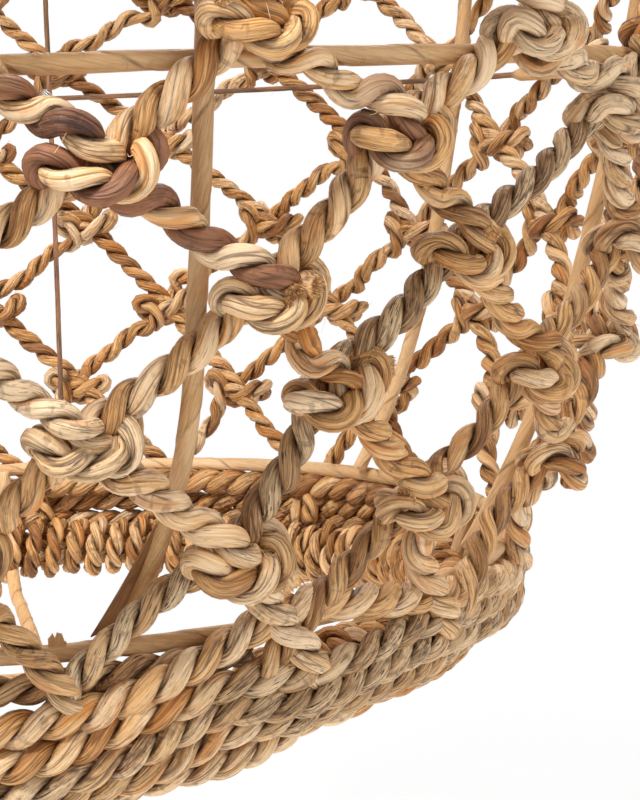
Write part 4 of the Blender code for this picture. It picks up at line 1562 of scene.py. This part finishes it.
@dataclass
class RopeWindings:
    """Rope wound under the base ring, along the rim and round the crown."""

    egg: EggShape
    opening: Opening
    lay: RopeLay = RopeLay(pitch=0.033)
    rows: tuple[BandRow, ...] = BAND_ROWS
    row_step: float = 4.0
    row_stray: Wander = Wander(0.0010, 4)
    height_stray: Wander = Wander(0.0009, 3)
    grey_stray: Wander = Wander(0.12, 60)
    shade_stray: Wander = Wander(0.16, 50)
    shade: float = 0.52
    # Painted shade on the band's far inside, behind the near net. The turn and the reach say where it grows.
    inner_painted_shade: float = 0.24
    inner_turn: float = 0.22  # radians
    inner_reach: float = 0.2
    draw_in: float = 0.0095
    chunk: int = 100
    lashing_lay: RopeLay = RopeLay(radius=0.0058, pitch=0.026)
    lashing_radius: float = 0.2400
    lashing_height: float = -0.052
    lashing_size: float = 0.0125
    lashing_pitch: float = 0.0145
    lashing_rise: float = 0.014
    lashing_draw_in: float = 0.010
    lashing_stray: Wander = Wander(0.05, 9)
    lashing_samples: int = 10
    rim_turns: int = 2
    rim_samples: int = 48
    rim_offset: float = 0.0122
    rim_start: float = 8.0
    rim_roll: float = 75.0
    cap_lay: RopeLay = RopeLay(radius=0.0078, pitch=0.033)
    cap_inner: float = 0.088
    cap_pitch: float = 0.0150
    cap_turns: int = 4
    cap_samples: int = 32
    cap_offset: float = 0.0072

    def band(self) -> MeshPool:
        """Rows of rope round the basket under the base ring, as one winding that climbs from the foot.

        Returns:
            The winding's mesh.
        """
        rng = Random(5)
        pool = MeshPool()
        control, girths, greys = [], [], []
        for number, row in enumerate(self.rows):
            angles = np.arange(row.heights[0][0], row.heights[-1][0], self.row_step)
            after = self.rows[number + 1].radius if number + 1 < len(self.rows) else row.radius - 0.006
            climb = np.clip((angles - 90) / 90, 0, 1)
            radius = row.radius - self.draw_in * drawn_share(angles) * (2 if number < 2 else 1)
            radius = radius + (after - row.radius) * climb + self.row_stray.along(rng, len(angles))
            height = np.interp(angles, *np.array(row.heights).T) / 1000
            height = height + self.height_stray.along(rng, len(angles))
            control.append(ring_point(angles, radius, height))
            girths.append(np.full(len(angles), row.girth))
            greys.append(np.interp(angles, *np.array(row.greys).T))
        tone = Tone(0.0, 0, self.shade)
        run = RopeRun(np.vstack(control), self.lay, rng, tone, first=np.array((0.0, 0.0, 1.0)))
        stations = run.stations[: len(np.concatenate(girths))]
        run.girth *= np.interp(run.along, stations, np.concatenate(girths))
        grey = np.interp(run.along, stations, np.concatenate(greys))
        count = len(run.path)
        # Painted shade: the band darkens toward its far side, seen from inside the basket, in the near net's
        # shade.
        across = run.path[:, 0] * -math.cos(self.inner_turn) + run.path[:, 1] * math.sin(self.inner_turn)
        inner = self.inner_painted_shade * np.clip(across / self.inner_reach, 0, 1)
        for ply in range(2):
            run.grey[ply] = np.clip(grey + self.grey_stray.along(rng, count), 0, 1)
            run.shade[ply] = np.clip(self.shade + self.shade_stray.along(rng, count) - inner, 0, 1)
        around = angle_of(run.path)
        for start in range(0, count - 1, self.chunk):
            detail = NEAR if abs(around[start] - 25) < 65 else BAND_FAR
            run.add_to(pool, detail, start, min(start + self.chunk, count - 1))
        return pool

    def lashing(self) -> MeshPool:
        """Rope wound tightly round the band's foot, which shows as a scalloped edge inside.

        Returns:
            The lashing's mesh.
        """
        rng = Random(6)
        pool = MeshPool()
        turns = round(TAU * self.lashing_radius / self.lashing_pitch)
        steps = np.arange(turns * self.lashing_samples + 1)
        roll = TAU * steps / self.lashing_samples
        wide = self.lashing_size * (1 + self.lashing_stray.along(rng, len(steps)))
        angle = 95 + 360 * steps / (turns * self.lashing_samples)
        raised = np.clip((angle % 360 - 12) / 14, 0, 1) * np.clip((125 - angle % 360) / 35, 0, 1)
        radius = self.lashing_radius - self.lashing_draw_in * raised + wide * np.cos(roll)
        height = self.lashing_height + self.lashing_rise * raised + 1.15 * wide * np.sin(roll)
        # The lashing's deep tone (0.27) partly stands for painted shade inside the band, where the lashing
        # shows.
        run = RopeRun(ring_point(angle, radius, height), self.lashing_lay, rng, Tone(0.06, 0, 0.27), 0.0022)
        run.add_to(pool, Detail(1, 10))
        return pool

    def rim(self) -> MeshPool:
        """Rope run twice along the rim rod, its turns side by side.

        Returns:
            The rim rope's mesh.
        """
        rng = Random(7)
        pool = MeshPool()
        steps = np.arange(self.rim_turns * self.rim_samples + 1)
        turn = TAU * steps / self.rim_samples
        middle = self.opening.point(turn)
        along = unit(self.opening.point(turn + 0.01) - self.opening.point(turn - 0.01))
        outward = unit(self.opening.point(turn, 1.0, 0.01) - middle)
        to_net = self.opening.point(turn, 1.01) - middle
        to_net = unit(to_net - along * np.sum(to_net * along, axis=1, keepdims=True))
        roll = math.radians(self.rim_start) - math.radians(self.rim_roll) * steps / self.rim_samples
        side = np.cos(roll)[:, None] * outward + np.sin(roll)[:, None] * to_net
        run = RopeRun(middle + self.rim_offset * side, self.lay, rng, Tone(0.25, 0, 0.5), 0.002)
        run.add_to(pool, Detail(1, 12))
        return pool

    def cap(self) -> MeshPool:
        """Rope coiled over the uprights round the crown.

        Returns:
            The coil's mesh.
        """
        rng = Random(8)
        pool = MeshPool()
        steps = np.arange(self.cap_turns * self.cap_samples + 1)
        radii = self.cap_inner + self.cap_pitch * steps / self.cap_samples
        spots = np.array([self.egg.point(0, self.egg.height_at(radius), self.cap_offset) for radius in radii])
        path = ring_point(90 + 360 * steps / self.cap_samples, spots[:, 0], spots[:, 2])
        run = RopeRun(path, self.cap_lay, rng, Tone(0.3, 0, 0.5), 0.002)
        run.add_to(pool, Detail(1, 12))
        return pool

    def build(self, dresser: Dresser) -> None:
        """Make the windings.

        Args:
            dresser: Dresses the pieces.
        """
        dresser.basket_piece("rope_base_band", self.band(), Slot.ROPE, ("base_band",))
        dresser.basket_piece("rope_base_lashing", self.lashing(), Slot.ROPE)
        dresser.basket_piece("rope_rim", self.rim(), Slot.ROPE, ("rim_rope",))
        dresser.basket_piece("rope_crown_cap", self.cap(), Slot.ROPE, ("crown_cap",))


# ---- Rods ----


@dataclass
class RodFrame:
    """Rods wrapped in split leaf: hoops, uprights, rim, crown ring and seat rods."""

    egg: EggShape
    opening: Opening
    radius: float = 0.00425
    gap: float = 0.0003
    wrap_pitch: float = 0.046
    wrap_lip: float = 0.00035
    pleat: float = 0.00010
    lap_stray: Wander = Wander(0.10, 30)
    girth_stray: Wander = Wander(0.03, 25)
    grey_stray: Wander = Wander(0.15, 50)
    fibre_slant: float = 0.35
    seam_share: float = 0.035
    seam_line_and_shade: float = 0.8
    crown_height: float = 1.073
    crown_radius: float = 0.058
    spacing: float = 0.0022
    sides: int = 18
    hoops: dict[str, float] = field(
        default_factory=lambda: {
            "base_ring": 0.0,
            "lower_hoop": 0.254,
            "middle_hoop": 0.508,
            "upper_hoop": 0.760,
            "shoulder_hoop": 0.950,
        }
    )
    uprights: dict[str, float] = field(
        default_factory=lambda: {
            "upright_side_left": 9.0,
            "upright_back_left": 63.0,
            "upright_back_right": 117.0,
            "upright_side_right": 171.0,
            "upright_front_right": 216.0,
            "upright_front_left": 324.0,
        }
    )
    leans: dict[str, float] = field(
        default_factory=lambda: {
            "upright_side_left": -5.0,
            "upright_back_left": -7.0,
            "upright_back_right": 3.5,
        }
    )
    lean_height: float = 0.12
    lean_inset: float = 0.0013
    core_share: float = 0.42
    core_dark: float = 0.85
    bare_hoop: tuple[float, float] = (108.0, 205.0)
    bare_upright: str = "upright_side_right"
    seat_path: tuple[tuple[float, float], ...] = (
        (0.2560, 0.000),
        (0.2500, -0.020),
        (0.2380, -0.048),
        (0.2260, -0.066),
        (0.2050, -0.074),
        (0.1600, -0.074),
        (0.0800, -0.074),
    )

    def wrapped_rod(
        self, control: Array, seed: int, closed: bool = False, bare: tuple[float, float] | None = None
    ) -> MeshPool:
        """Rod with a strip of leaf wound along it, each turn lapping the one before.

        Args:
            control: Points of the rod's middle line.
            seed: Seed of its random numbers.
            closed: Whether it is a ring.
            bare: Angles round the basket between which the leaf is gone and the core shows, or None.

        Returns:
            The rod's mesh.
        """
        rng = Random(seed)
        pool = MeshPool()
        path, _ = smooth_path(control, self.spacing, closed)
        _, normals, binormals = carried_frames(path, np.array((0.1, 0.2, 1.0)))
        count = len(path)
        along = np.arange(count) * self.spacing
        round_about = np.arange(self.sides) * TAU / self.sides
        lap = (along / self.wrap_pitch + self.lap_stray.along(rng, count))[:, None] - round_about[None] / TAU
        part = lap - np.floor(lap)
        lip = self.wrap_lip * (1 - np.minimum(part / 0.85, 1)) ** 0.7 - self.wrap_lip * 0.4
        size = self.radius * (1 + self.girth_stray.along(rng, count))[:, None] + lip
        size = size + self.pleat * np.sin(3 * round_about[None] + 4 * drift(rng, count, 40)[:, None])
        around = angle_of(path) % 360
        inside = 0 * around
        if bare is not None:
            inside = np.clip(np.minimum(around - bare[0], bare[1] - around) / 1.5, 0, 1)
        size = size * (1 - (1 - self.core_share) * inside[:, None])
        points = path[:, None] + size[..., None] * ring_round(round_about, normals, binormals)
        steep = round_about[None] - TAU * along[:, None] / self.wrap_pitch * self.fibre_slant
        grain = np.stack(
            (
                np.broadcast_to(along[:, None] + rng.uniform(0, 30), steep.shape) + 0.013 * np.floor(lap),
                self.radius * np.cos(steep),
                self.radius * np.sin(steep),
            ),
            axis=-1,
        )
        tint = np.zeros(steep.shape + (4,))
        strips = rng.uniform(-0.14, 0.14, int(lap.max() - lap.min()) + 4)
        tint[..., 0] = np.clip(0.12 + self.grey_stray.along(rng, count), 0, 1)[:, None]
        tint[..., 1] = self.core_dark * inside[:, None]
        tint[..., 2] = np.clip(0.5 + strips[(np.floor(lap) - np.floor(lap.min())).astype(int)], 0, 1)
        # Dark line along the lap seams: the leaf edge's own line, with painted shade under the lip of each
        # turn.
        tint[..., 3] = self.seam_line_and_shade * np.clip(1 - np.minimum(part, 1 - part) / self.seam_share, 0, 1)
        if closed:
            points[-1] = points[0]
        pool.add_grid(points, grain, tint)
        return pool

    def hoop(self, name: str, seed: int) -> MeshPool:
        """Level hoop, closed where it clears the opening.

        Args:
            name: The hoop's node.
            seed: Seed of its random numbers.

        Returns:
            The hoop's mesh.
        """
        height = self.hoops[name]
        end = self.opening.hoop_end(height, 2 * self.radius + self.gap)
        if end is None:
            angles = self.opening.front + np.arange(40) * 9.0
            bare = self.bare_hoop if name == "lower_hoop" else None
            return self.wrapped_rod(self.egg.point(angles, np.full(40, height)), seed, True, bare)
        angles = np.linspace(self.opening.front + end, self.opening.front + 360 - end, 33)
        return self.wrapped_rod(self.egg.point(angles, np.full(33, height)), seed)

    def upright(self, name: str, seed: int) -> MeshPool:
        """Upright from inside the base ring to the crown ring.

        Args:
            name: The upright's node.
            seed: Seed of its random numbers.

        Returns:
            The upright's mesh.
        """
        turns = np.concatenate((np.linspace(0, 0.12, 6)[:-1], np.linspace(0.12, math.pi / 2, 17)))
        heights = self.crown_height * np.sin(turns)
        share = np.maximum(1 - heights / self.lean_height, 0) ** 2
        lean = self.leans.get(name, 0.0)
        inset = 2 * self.radius + self.gap
        outward = -inset - (self.lean_inset * share if lean else 0 * share)
        points = self.egg.point(self.uprights[name] + lean * share, heights, outward)
        end = self.crown_radius + inset
        points = points[np.hypot(points[:, 0], points[:, 1]) > end + 0.004]
        tip = ring_point(self.uprights[name], end - self.radius, self.crown_height - 0.0035)
        bare = (0.0, 360.0) if name == self.bare_upright else None
        return self.wrapped_rod(np.vstack((points, tip)), seed, bare=bare)

    def seat_rod(self, angle: float, drop: float, seed: int) -> MeshPool:
        """Rod under the base from one side of the ring to the other.

        Args:
            angle: Angle of one of its ends.
            drop: How far its middle hangs below the path of the other seat rod.
            seed: Seed of its random numbers.

        Returns:
            The rod's mesh.
        """
        end_radius = self.seat_path[0][0]
        side = [(radius, height - drop * (1 - radius / end_radius)) for radius, height in self.seat_path]
        points = [ring_point(angle, radius, height) for radius, height in side]
        points.append(ring_point(angle, 0.0, side[-1][1]))
        points += [ring_point(angle + 180, radius, height) for radius, height in reversed(side)]
        return self.wrapped_rod(np.array(points), seed)

    def build(self, dresser: Dresser) -> None:
        """Make every rod.

        Args:
            dresser: Dresses the pieces.
        """
        for seed, name in enumerate(self.hoops, 20):
            dresser.basket_piece("leaf_" + name, self.hoop(name, seed), Slot.LEAF, (name,))
        for seed, name in enumerate(self.uprights, 30):
            dresser.basket_piece("leaf_" + name, self.upright(name, seed), Slot.LEAF, (name,))
        crown = ring_point(np.arange(24) * 15.0, self.crown_radius, self.crown_height)
        others = {
            "rim_rod": self.wrapped_rod(self.opening.point(np.arange(48) * TAU / 48), 40, True),
            "crown_ring": self.wrapped_rod(crown, 41, True),
            "seat_rod_across": self.seat_rod(0, 0, 42),
            "seat_rod_lengthwise": self.seat_rod(90, 2 * self.radius + self.gap, 43),
        }
        for name, pool in others.items():
            dresser.basket_piece("leaf_" + name, pool, Slot.LEAF, (name,))


# ---- Loose leaf and wire ----


@dataclass(frozen=True)
class CutEnd:
    """Cut strand end at a knot: where it leaves, in millimetres, and which way, both in the knot's axes."""

    row: int
    column: int
    spot: tuple[float, float, float]
    way: tuple[float, float, float]


@dataclass
class LooseLeaf:
    """Split flaps and torn stubs on the rods, cut strand ends at knots, and stray fibres."""

    egg: EggShape
    rods: RodFrame
    net: KnottedNet
    tails: tuple[CutEnd, ...] = (
        CutEnd(3, -7, (4, 2, 9), (0.10, -0.05, 1.0)),
        CutEnd(3, -7, (11, 4, 8), (0.5, 0.15, 0.9)),
        CutEnd(3, -5, (1, 11, 5), (0.1, -0.3, 1.0)),
        CutEnd(1, -7, (17, -2, 9), (0.5, -0.7, 0.6)),
        CutEnd(2, -6, (19, 6, 2), (0.9, 0.3, 0.4)),
        CutEnd(1, -5, (-17, 4, 4), (-0.9, 0.5, 0.3)),
    )
    rows: range = range(1, 18)
    columns: range = range(-16, 16)
    spacing: float = 0.0012
    strand: float = 0.0042
    end_fibres: int = 70
    end_fibre: float = 0.00042
    stray_fibre: float = 0.00016
    flap_rows: int = 22
    flap_height: float = 0.055
    flap_width: float = 0.0130
    flap_curl: float = 0.0030
    stub_columns: int = 9
    stub_radius: float = 0.2660
    flap_leaf: float = 0.0006
    stub_leaf: float = 0.0007

    def frames(self, points: Array) -> tuple[Array, Array, Array, Array]:
        """Path through points, with its tangents, normals and binormals."""
        path, _ = smooth_path(points, self.spacing)
        return path, *carried_frames(path, np.array((0.3, 0.2, 1.0)))

    def fibre(self, pool: MeshPool, points: Array, radius: float, tone: Tone) -> None:
        """Add a thin tapering fibre.

        Args:
            pool: Pool that takes it.
            points: Points that it passes through.
            radius: Its radius at the thick end.
            tone: Its colour shares.
        """
        path, _, normals, binormals = self.frames(points)
        size = radius * (1 - 0.8 * np.linspace(0, 1, len(path)) ** 2)[:, None, None]
        tint = np.empty((len(path), 5, 4))
        tint[:] = (tone.grey, tone.dark, tone.shade, 0)
        grain = np.zeros((len(path), 5, 3))
        grain[..., 0] = np.arange(len(path))[:, None] * self.spacing + float(points[0][0]) * 50
        ring = ring_round(np.arange(5) * TAU / 5, normals, binormals)
        pool.add_grid(path[:, None] + size * ring, grain, tint)

    def tail(self, pool: MeshPool, place: Array, way: Array, length: float, rng: Random) -> None:
        """Add a cut strand end with frayed tips.

        Args:
            pool: Pool that takes it.
            place: Where it leaves the knot.
            way: Unit direction of the end.
            length: Length of the end.
            rng: Random numbers.
        """
        bend = rng.normal(0, 0.15, 3)
        ends = np.array([place - way * 0.006, place, place + (way + bend) * length])
        path, tangents, normals, binormals = self.frames(ends)
        turn = np.arange(16) * TAU / 16
        along = np.linspace(0, 1, len(path))
        size = self.strand * (1 + 0.12 * along)[:, None]
        size = size * (1 + 0.07 * np.sin(5 * turn[None] + 9 * along[:, None]))
        ring = ring_round(turn, normals, binormals)
        rows = path[:, None] + size[..., None] * ring
        inner = path[-1] - tangents[-1] * 0.0012
        rows = np.concatenate((rows, (inner + 0.45 * size[-1][:, None] * ring[-1])[None]))
        tint = np.zeros((len(rows), 16, 4))
        tint[..., 0], tint[..., 2] = 0.2, 0.55
        # The last two rings are deeper in tone, and the recessed end face gets painted shade.
        tint[-2:, :, 2], tint[-1, :, 3] = 0.3, 0.5
        grain = np.zeros((len(rows), 16, 3))
        grain[..., 0] = (np.arange(len(rows)) * self.spacing)[:, None] + rng.uniform(0, 9)
        grain[..., 1], grain[..., 2] = 0.0037 * np.cos(turn)[None], 0.0037 * np.sin(turn)[None]
        pool.add_grid(rows, grain, tint)
        for _ in range(self.end_fibres):
            side = float(rng.uniform(0, TAU))
            out = math.cos(side) * normals[-1] + math.sin(side) * binormals[-1]
            start = path[-1] + out * 0.0044 * math.sqrt(rng.uniform()) - tangents[-1] * 0.003
            tip = start + tangents[-1] * rng.uniform(0.0026, 0.0046) + out * rng.uniform(0.0, 0.0012)
            shade = float(rng.uniform(0.05, 0.55))
            middle = (start + tip) / 2 + out * 0.0002
            self.fibre(pool, np.array([start, middle, tip]), self.end_fibre, Tone(0, 0, shade))

    def knot_tails(self) -> MeshPool:
        """Cut ends at the named knots and at some others.

        Returns:
            The cut ends' mesh.
        """
        rng = Random(61)
        pool = MeshPool()
        named = {(cut.row, cut.column) for cut in self.tails}
        chosen = list(self.tails)
        for row in self.rows:
            for column in self.columns:
                picked = (row + column) % 2 == 0 and rng.uniform() < 0.10
                if picked and (row, column) not in named:
                    spot = (rng.uniform(-16, 16), 8, 6)
                    chosen.append(CutEnd(row, column, spot, tuple(rng.normal(0, 0.5, 3) + (0, 0, 0.8))))
        for cut in chosen:
            knot = self.net.knot(cut.row, cut.column)
            if knot is None:
                continue
            way = unit(cut.way[0] * knot.right + cut.way[1] * knot.up + cut.way[2] * knot.out)
            self.tail(pool, knot.at(*cut.spot), way, float(rng.uniform(0.006, 0.010)), rng)
        return pool

    def strays(self) -> MeshPool:
        """Stray fibres that have worked loose near the knots.

        Returns:
            The fibres' mesh.
        """
        rng = Random(62)
        pool = MeshPool()
        for row in self.rows:
            for column in self.columns:
                knot = self.net.knot(row, column) if (row + column) % 2 == 0 else None
                for _ in range(3 if knot else 0):
                    start = knot.at(*rng.uniform(-1, 1, 3) * (20, 12, 4) + (0, 0, 6))
                    way = rng.normal(0, 1, 3)
                    reach = rng.uniform(0.006, 0.018)
                    middle = start + unit(way + 1.2 * knot.out) * reach * 0.5
                    tip = start + unit(way + 0.6 * knot.out) * reach
                    points = np.array([start - knot.out * 0.006, start, middle, tip])
                    self.fibre(pool, points, self.stray_fibre, Tone(0.2, 0, 0.75))
        return pool

    def flap(self) -> MeshPool:
        """Leaf that has split away from the foot of the left side's upright.

        Returns:
            The flap's mesh.
        """
        pool = MeshPool()
        share = np.linspace(0, 1, self.flap_rows)
        heights = self.flap_height + 0.001 - self.flap_height * share
        lean = np.maximum(1 - heights / self.rods.lean_height, 0) ** 2 * self.rods.leans["upright_side_left"]
        inset = 2 * self.rods.radius + self.rods.gap
        angle = self.rods.uprights["upright_side_left"] + lean
        middle = self.egg.point(angle, heights, np.full(self.flap_rows, -inset))
        out = self.egg.normal(middle)
        right = np.stack((-np.sin(np.radians(angle)), np.cos(np.radians(angle)), 0 * angle), axis=1)
        across = np.linspace(0, 1, 7)[None, :, None]
        width = (self.flap_width * share**0.9)[:, None, None]
        curl = (self.flap_curl * share)[:, None, None] * across**2
        points = middle[:, None] - right[:, None] * (0.0030 + width * across) + out[:, None] * (curl - 0.0022)
        grain = np.zeros(points.shape)
        grain[..., 0], grain[..., 1] = 3.0 - heights[:, None], 0.008 * across[..., 0]
        tint = np.zeros(points.shape[:2] + (4,))
        # Deep tone (0.10), and a little painted shade (0.10) over the whole flap, which lies behind the rod.
        tint[..., 2], tint[..., 3] = 0.10, 0.10
        pool.add_sheet(points, grain, tint, self.flap_leaf)
        return pool

    def stub(self, angle: float, width: float, height: float, seed: int) -> MeshPool:
        """Torn leaf that stands up on the base ring.

        Args:
            angle: Angle that it stands at.
            width: Its width.
            height: Its height over the ring, about.
            seed: Seed of its random numbers.

        Returns:
            The stub's mesh.
        """
        rng = Random(seed)
        pool = MeshPool()
        columns = np.linspace(-1, 1, self.stub_columns)
        top = height * (0.75 + 0.25 * rng.uniform(-1, 1, self.stub_columns))
        top[-2:] *= 0.35
        rise = np.linspace(0, 1, 6)[:, None]
        turn = angle + np.degrees(columns * width / 2 / (self.stub_radius - 0.001))
        level = 0.0030 + rise * top[None]
        radius = self.stub_radius + 0.0012 * rise**2 + 0.0004 * np.sin(4 * columns)[None]
        points = ring_point(np.broadcast_to(turn, level.shape), radius + 0 * level, level)
        grain = np.zeros(points.shape)
        grain[..., 0], grain[..., 1] = level, columns[None] * width / 2
        tint = np.zeros(points.shape[:2] + (4,))
        tint[..., 0], tint[..., 2] = 0.1, 0.45
        pool.add_sheet(points, grain, tint, self.stub_leaf)
        return pool

    def build(self, dresser: Dresser) -> None:
        """Make the loose pieces.

        Args:
            dresser: Dresses the pieces.
        """
        dresser.basket_piece("cut_strand_ends", self.knot_tails(), Slot.ROPE)
        dresser.basket_piece("stray_fibres", self.strays(), Slot.ROPE)
        dresser.basket_piece("split_leaf_flap", self.flap(), Slot.LEAF)
        dresser.basket_piece("torn_leaf_stub_left", self.stub(-2.8, 0.0078, 0.0072, 71), Slot.LEAF)
        dresser.basket_piece("torn_leaf_stub_back", self.stub(77.0, 0.0065, 0.0060, 72), Slot.LEAF)


@dataclass
class WireTies:
    """Thin wire wound twice round each crossing of a hoop and an upright."""

    egg: EggShape
    rods: RodFrame
    wire: float = 0.0006
    long_half: float = 0.0101
    short_half: float = 0.0068
    pitch: float = 0.0016
    turns: float = 2.2
    room: float = 0.012

    def tie(self, pool: MeshPool, angle: float, height: float) -> None:
        """Add the tie at one crossing.

        Args:
            pool: Pool that takes it.
            angle: Angle of the upright.
            height: Height of the hoop.
        """
        middle = self.egg.point(angle, height, -self.rods.radius - self.rods.gap / 2)
        out = self.egg.normal(middle)
        turn = math.radians(angle)
        right = np.array((-math.sin(turn), math.cos(turn), 0.0))
        slant = unit(right + np.cross(out, right))
        through = np.cross(out, slant)
        steps = np.linspace(0, self.turns * TAU, 60)
        loop = self.long_half * np.cos(steps)[:, None] * out
        loop = loop + self.short_half * np.sin(steps)[:, None] * slant
        points = middle + loop + (self.pitch * (steps / TAU - self.turns / 2))[:, None] * through
        path, _ = smooth_path(points, 0.0011)
        _, normals, binormals = carried_frames(path, through)
        ring = ring_round(np.arange(6) * TAU / 6, normals, binormals)
        grain = np.zeros((len(path), 6, 3))
        pool.add_grid(path[:, None] + self.wire * ring, grain, np.zeros((len(path), 6, 4)))

    def build(self, dresser: Dresser) -> None:
        """Tie every crossing above the base ring that is clear of the opening.

        Args:
            dresser: Dresses the piece.
        """
        pool = MeshPool()
        opening = self.rods.opening
        for angle in self.rods.uprights.values():
            for name, height in self.rods.hoops.items():
                end = opening.hoop_end(height, self.room)
                clear = end is None or angle_between(angle, opening.front) > end
                if name != "base_ring" and clear:
                    self.tie(pool, angle, height)
        dresser.basket_piece("wire_ties", pool, Slot.STEEL)


# ---- Steel ----


@dataclass
class Hardware:
    """Steel of the hook, swivel, shackle and crown, which keeps its own solids."""

    nodes: tuple[str, ...] = (
        "snap_hook",
        "snap_gate",
        "gate_pin",
        "swivel_washer",
        "swivel_stud",
        "shackle",
        "shackle_pin",
        "shackle_nut",
        "crown_plate",
        "crown_eye_bolt",
        "crown_washer",
        "crown_nut",
    )

    def build(self, steel: bpy.types.Material) -> None:
        """Give every steel node its finish.

        Args:
            steel: The finish.
        """
        for name in self.nodes:
            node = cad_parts[name]
            node.data.materials.clear()
            node.data.materials.append(steel)
            LOG.info("%s: zinc steel", name)


# ---- Studio ----


@dataclass
class Studio:
    """Camera, lamps, pale floor and white surroundings."""

    place: Vector
    camera_angle: float = -12.34
    distance: float = 1.1534
    height: float = 0.2246
    sideways: float = 0.1641
    pitch: float = 7.45
    roll: float = -2.32
    lens: float = 93.1
    floor_drop: float = 0.38
    floor_reach: float = 30.0
    floor_fade: tuple[float, float] = (0.5, 1.4)
    floor_colour: Colour = (0.93, 0.93, 0.93)
    aim_height: float = 0.4
    soft_light: float = 0.30

    def camera(self) -> None:
        """Camera near the left side, low and close."""
        turn = math.radians(self.camera_angle)
        toward = Vector((math.cos(turn), math.sin(turn), 0))
        right = Vector((-math.sin(turn), math.cos(turn), 0))
        data = bpy.data.cameras.new("camera")
        data.lens = self.lens
        data.sensor_width = 36
        data.clip_start = 0.05
        camera = bpy.data.objects.new("camera", data)
        spot = self.place + self.distance * toward + self.sideways * right
        camera.location = spot + Vector((0, 0, self.height))
        aim = Matrix.Rotation(turn + math.pi / 2, 3, "Z")
        for angle, axis in ((90 - self.pitch, "X"), (self.roll, "Z")):
            aim = aim @ Matrix.Rotation(math.radians(angle), 3, axis)
        camera.rotation_euler = aim.to_euler()
        bpy.context.scene.collection.objects.link(camera)
        bpy.context.scene.camera = camera

    def lamp(self, name: str, spot: tuple[float, float, float], size: float, power: float) -> None:
        """Add a square lamp that is aimed at the basket.

        Args:
            name: Name of the lamp.
            spot: Where it stands, from the spot that it is aimed at.
            size: Length of its sides.
            power: Its power in watts.
        """
        data = bpy.data.lights.new(name, "AREA")
        data.size = size
        data.energy = power
        lamp = bpy.data.objects.new(name, data)
        target = self.place + Vector((0, 0, self.aim_height))
        lamp.location = target + Vector(spot)
        lamp.rotation_euler = (target - lamp.location).to_track_quat("-Z", "Y").to_euler()
        bpy.context.scene.collection.objects.link(lamp)

    def floor(self) -> None:
        """Pale floor, plain white far from the chair, which takes its shadow."""
        mesh = bpy.data.meshes.new("floor")
        reach = self.floor_reach
        corners = [(-reach, -reach, 0), (reach, -reach, 0), (reach, reach, 0), (-reach, reach, 0)]
        mesh.from_pydata(corners, [], [(0, 1, 2, 3)])
        floor = bpy.data.objects.new("floor", mesh)
        floor.location = (self.place.x, self.place.y, CAD_BOUNDS[0][2] - self.floor_drop)
        bpy.context.scene.collection.objects.link(floor)
        made, graph, shader = new_material("pale_floor")
        graph.feed(shader.inputs["Base Color"], self.floor_colour)
        shader.inputs["Roughness"].default_value = 0.9
        white = graph.node("ShaderNodeEmission")
        white.inputs["Strength"].default_value = 1.0
        far = graph.node("ShaderNodeVectorMath", operation="LENGTH")
        graph.feed(far.inputs[0], graph.node("ShaderNodeTexCoord").outputs["Object"])
        share = graph.times(graph.step(far.outputs["Value"], *self.floor_fade), graph.seen_ray())
        mixed = graph.node("ShaderNodeMixShader")
        graph.feed(mixed.inputs[0], share)
        graph.feed(mixed.inputs[1], shader.outputs[0])
        graph.feed(mixed.inputs[2], white.outputs[0])
        output = made.node_tree.nodes["Material Output"]
        graph.feed(output.inputs["Surface"], mixed.outputs[0])
        mesh.materials.append(made)

    def world(self) -> None:
        """White to the camera, softer as light."""
        world = bpy.data.worlds.new("studio")
        world.use_nodes = True
        bpy.context.scene.world = world
        graph = Graph(world.node_tree)
        background = world.node_tree.nodes["Background"]
        strength = graph.math("ADD", graph.times(graph.seen_ray(), 1 - self.soft_light), self.soft_light)
        graph.feed(background.inputs["Strength"], strength)
        background.inputs["Color"].default_value = (1, 1, 1, 1)

    def build(self) -> None:
        """Set up the studio."""
        self.camera()
        self.lamp("key", (1.0, -1.1, 1.9), 0.8, 104)
        self.lamp("fill", (1.5, 1.5, 0.8), 1.4, 16)
        self.lamp("back", (-1.5, 0.4, 1.5), 1.2, 34)
        self.floor()
        self.world()
        bpy.context.scene.view_settings.view_transform = "Standard"


def main() -> None:
    """Dress the chair from the inside out."""
    logging.basicConfig(level=logging.INFO, format="%(message)s")
    base = middle_of("base_ring")
    egg = EggShape()
    opening = Opening(egg)
    group = leaf_grain_group()
    materials = {
        Slot.ROPE: LeafFinish("leaf_rope").material(group),
        Slot.LEAF: LeafFinish(
            "wrapped_leaf",
            pale=(0.92, 0.67, 0.41),
            tan=(0.71, 0.435, 0.200),
            deep=(0.33, 0.155, 0.055),
            crease_and_shade_share=0.15,
            mildew_share=0.12,
            orange_share=0.2,
            contrast=0.42,
            bump=0.00025,
        ).material(group),
        Slot.STEEL: SteelFinish().material(),
    }
    dresser = Dresser(materials, base)
    Studio(base).build()
    rods = RodFrame(egg, opening)
    net = KnottedNet(egg, opening)
    rods.build(dresser)
    net.build(dresser)
    RopeWindings(egg, opening).build(dresser)
    LooseLeaf(egg, rods, net).build(dresser)
    WireTies(egg, rods).build(dresser)
    Hardware().build(materials[Slot.STEEL])


if __name__ == "__main__":
    main()
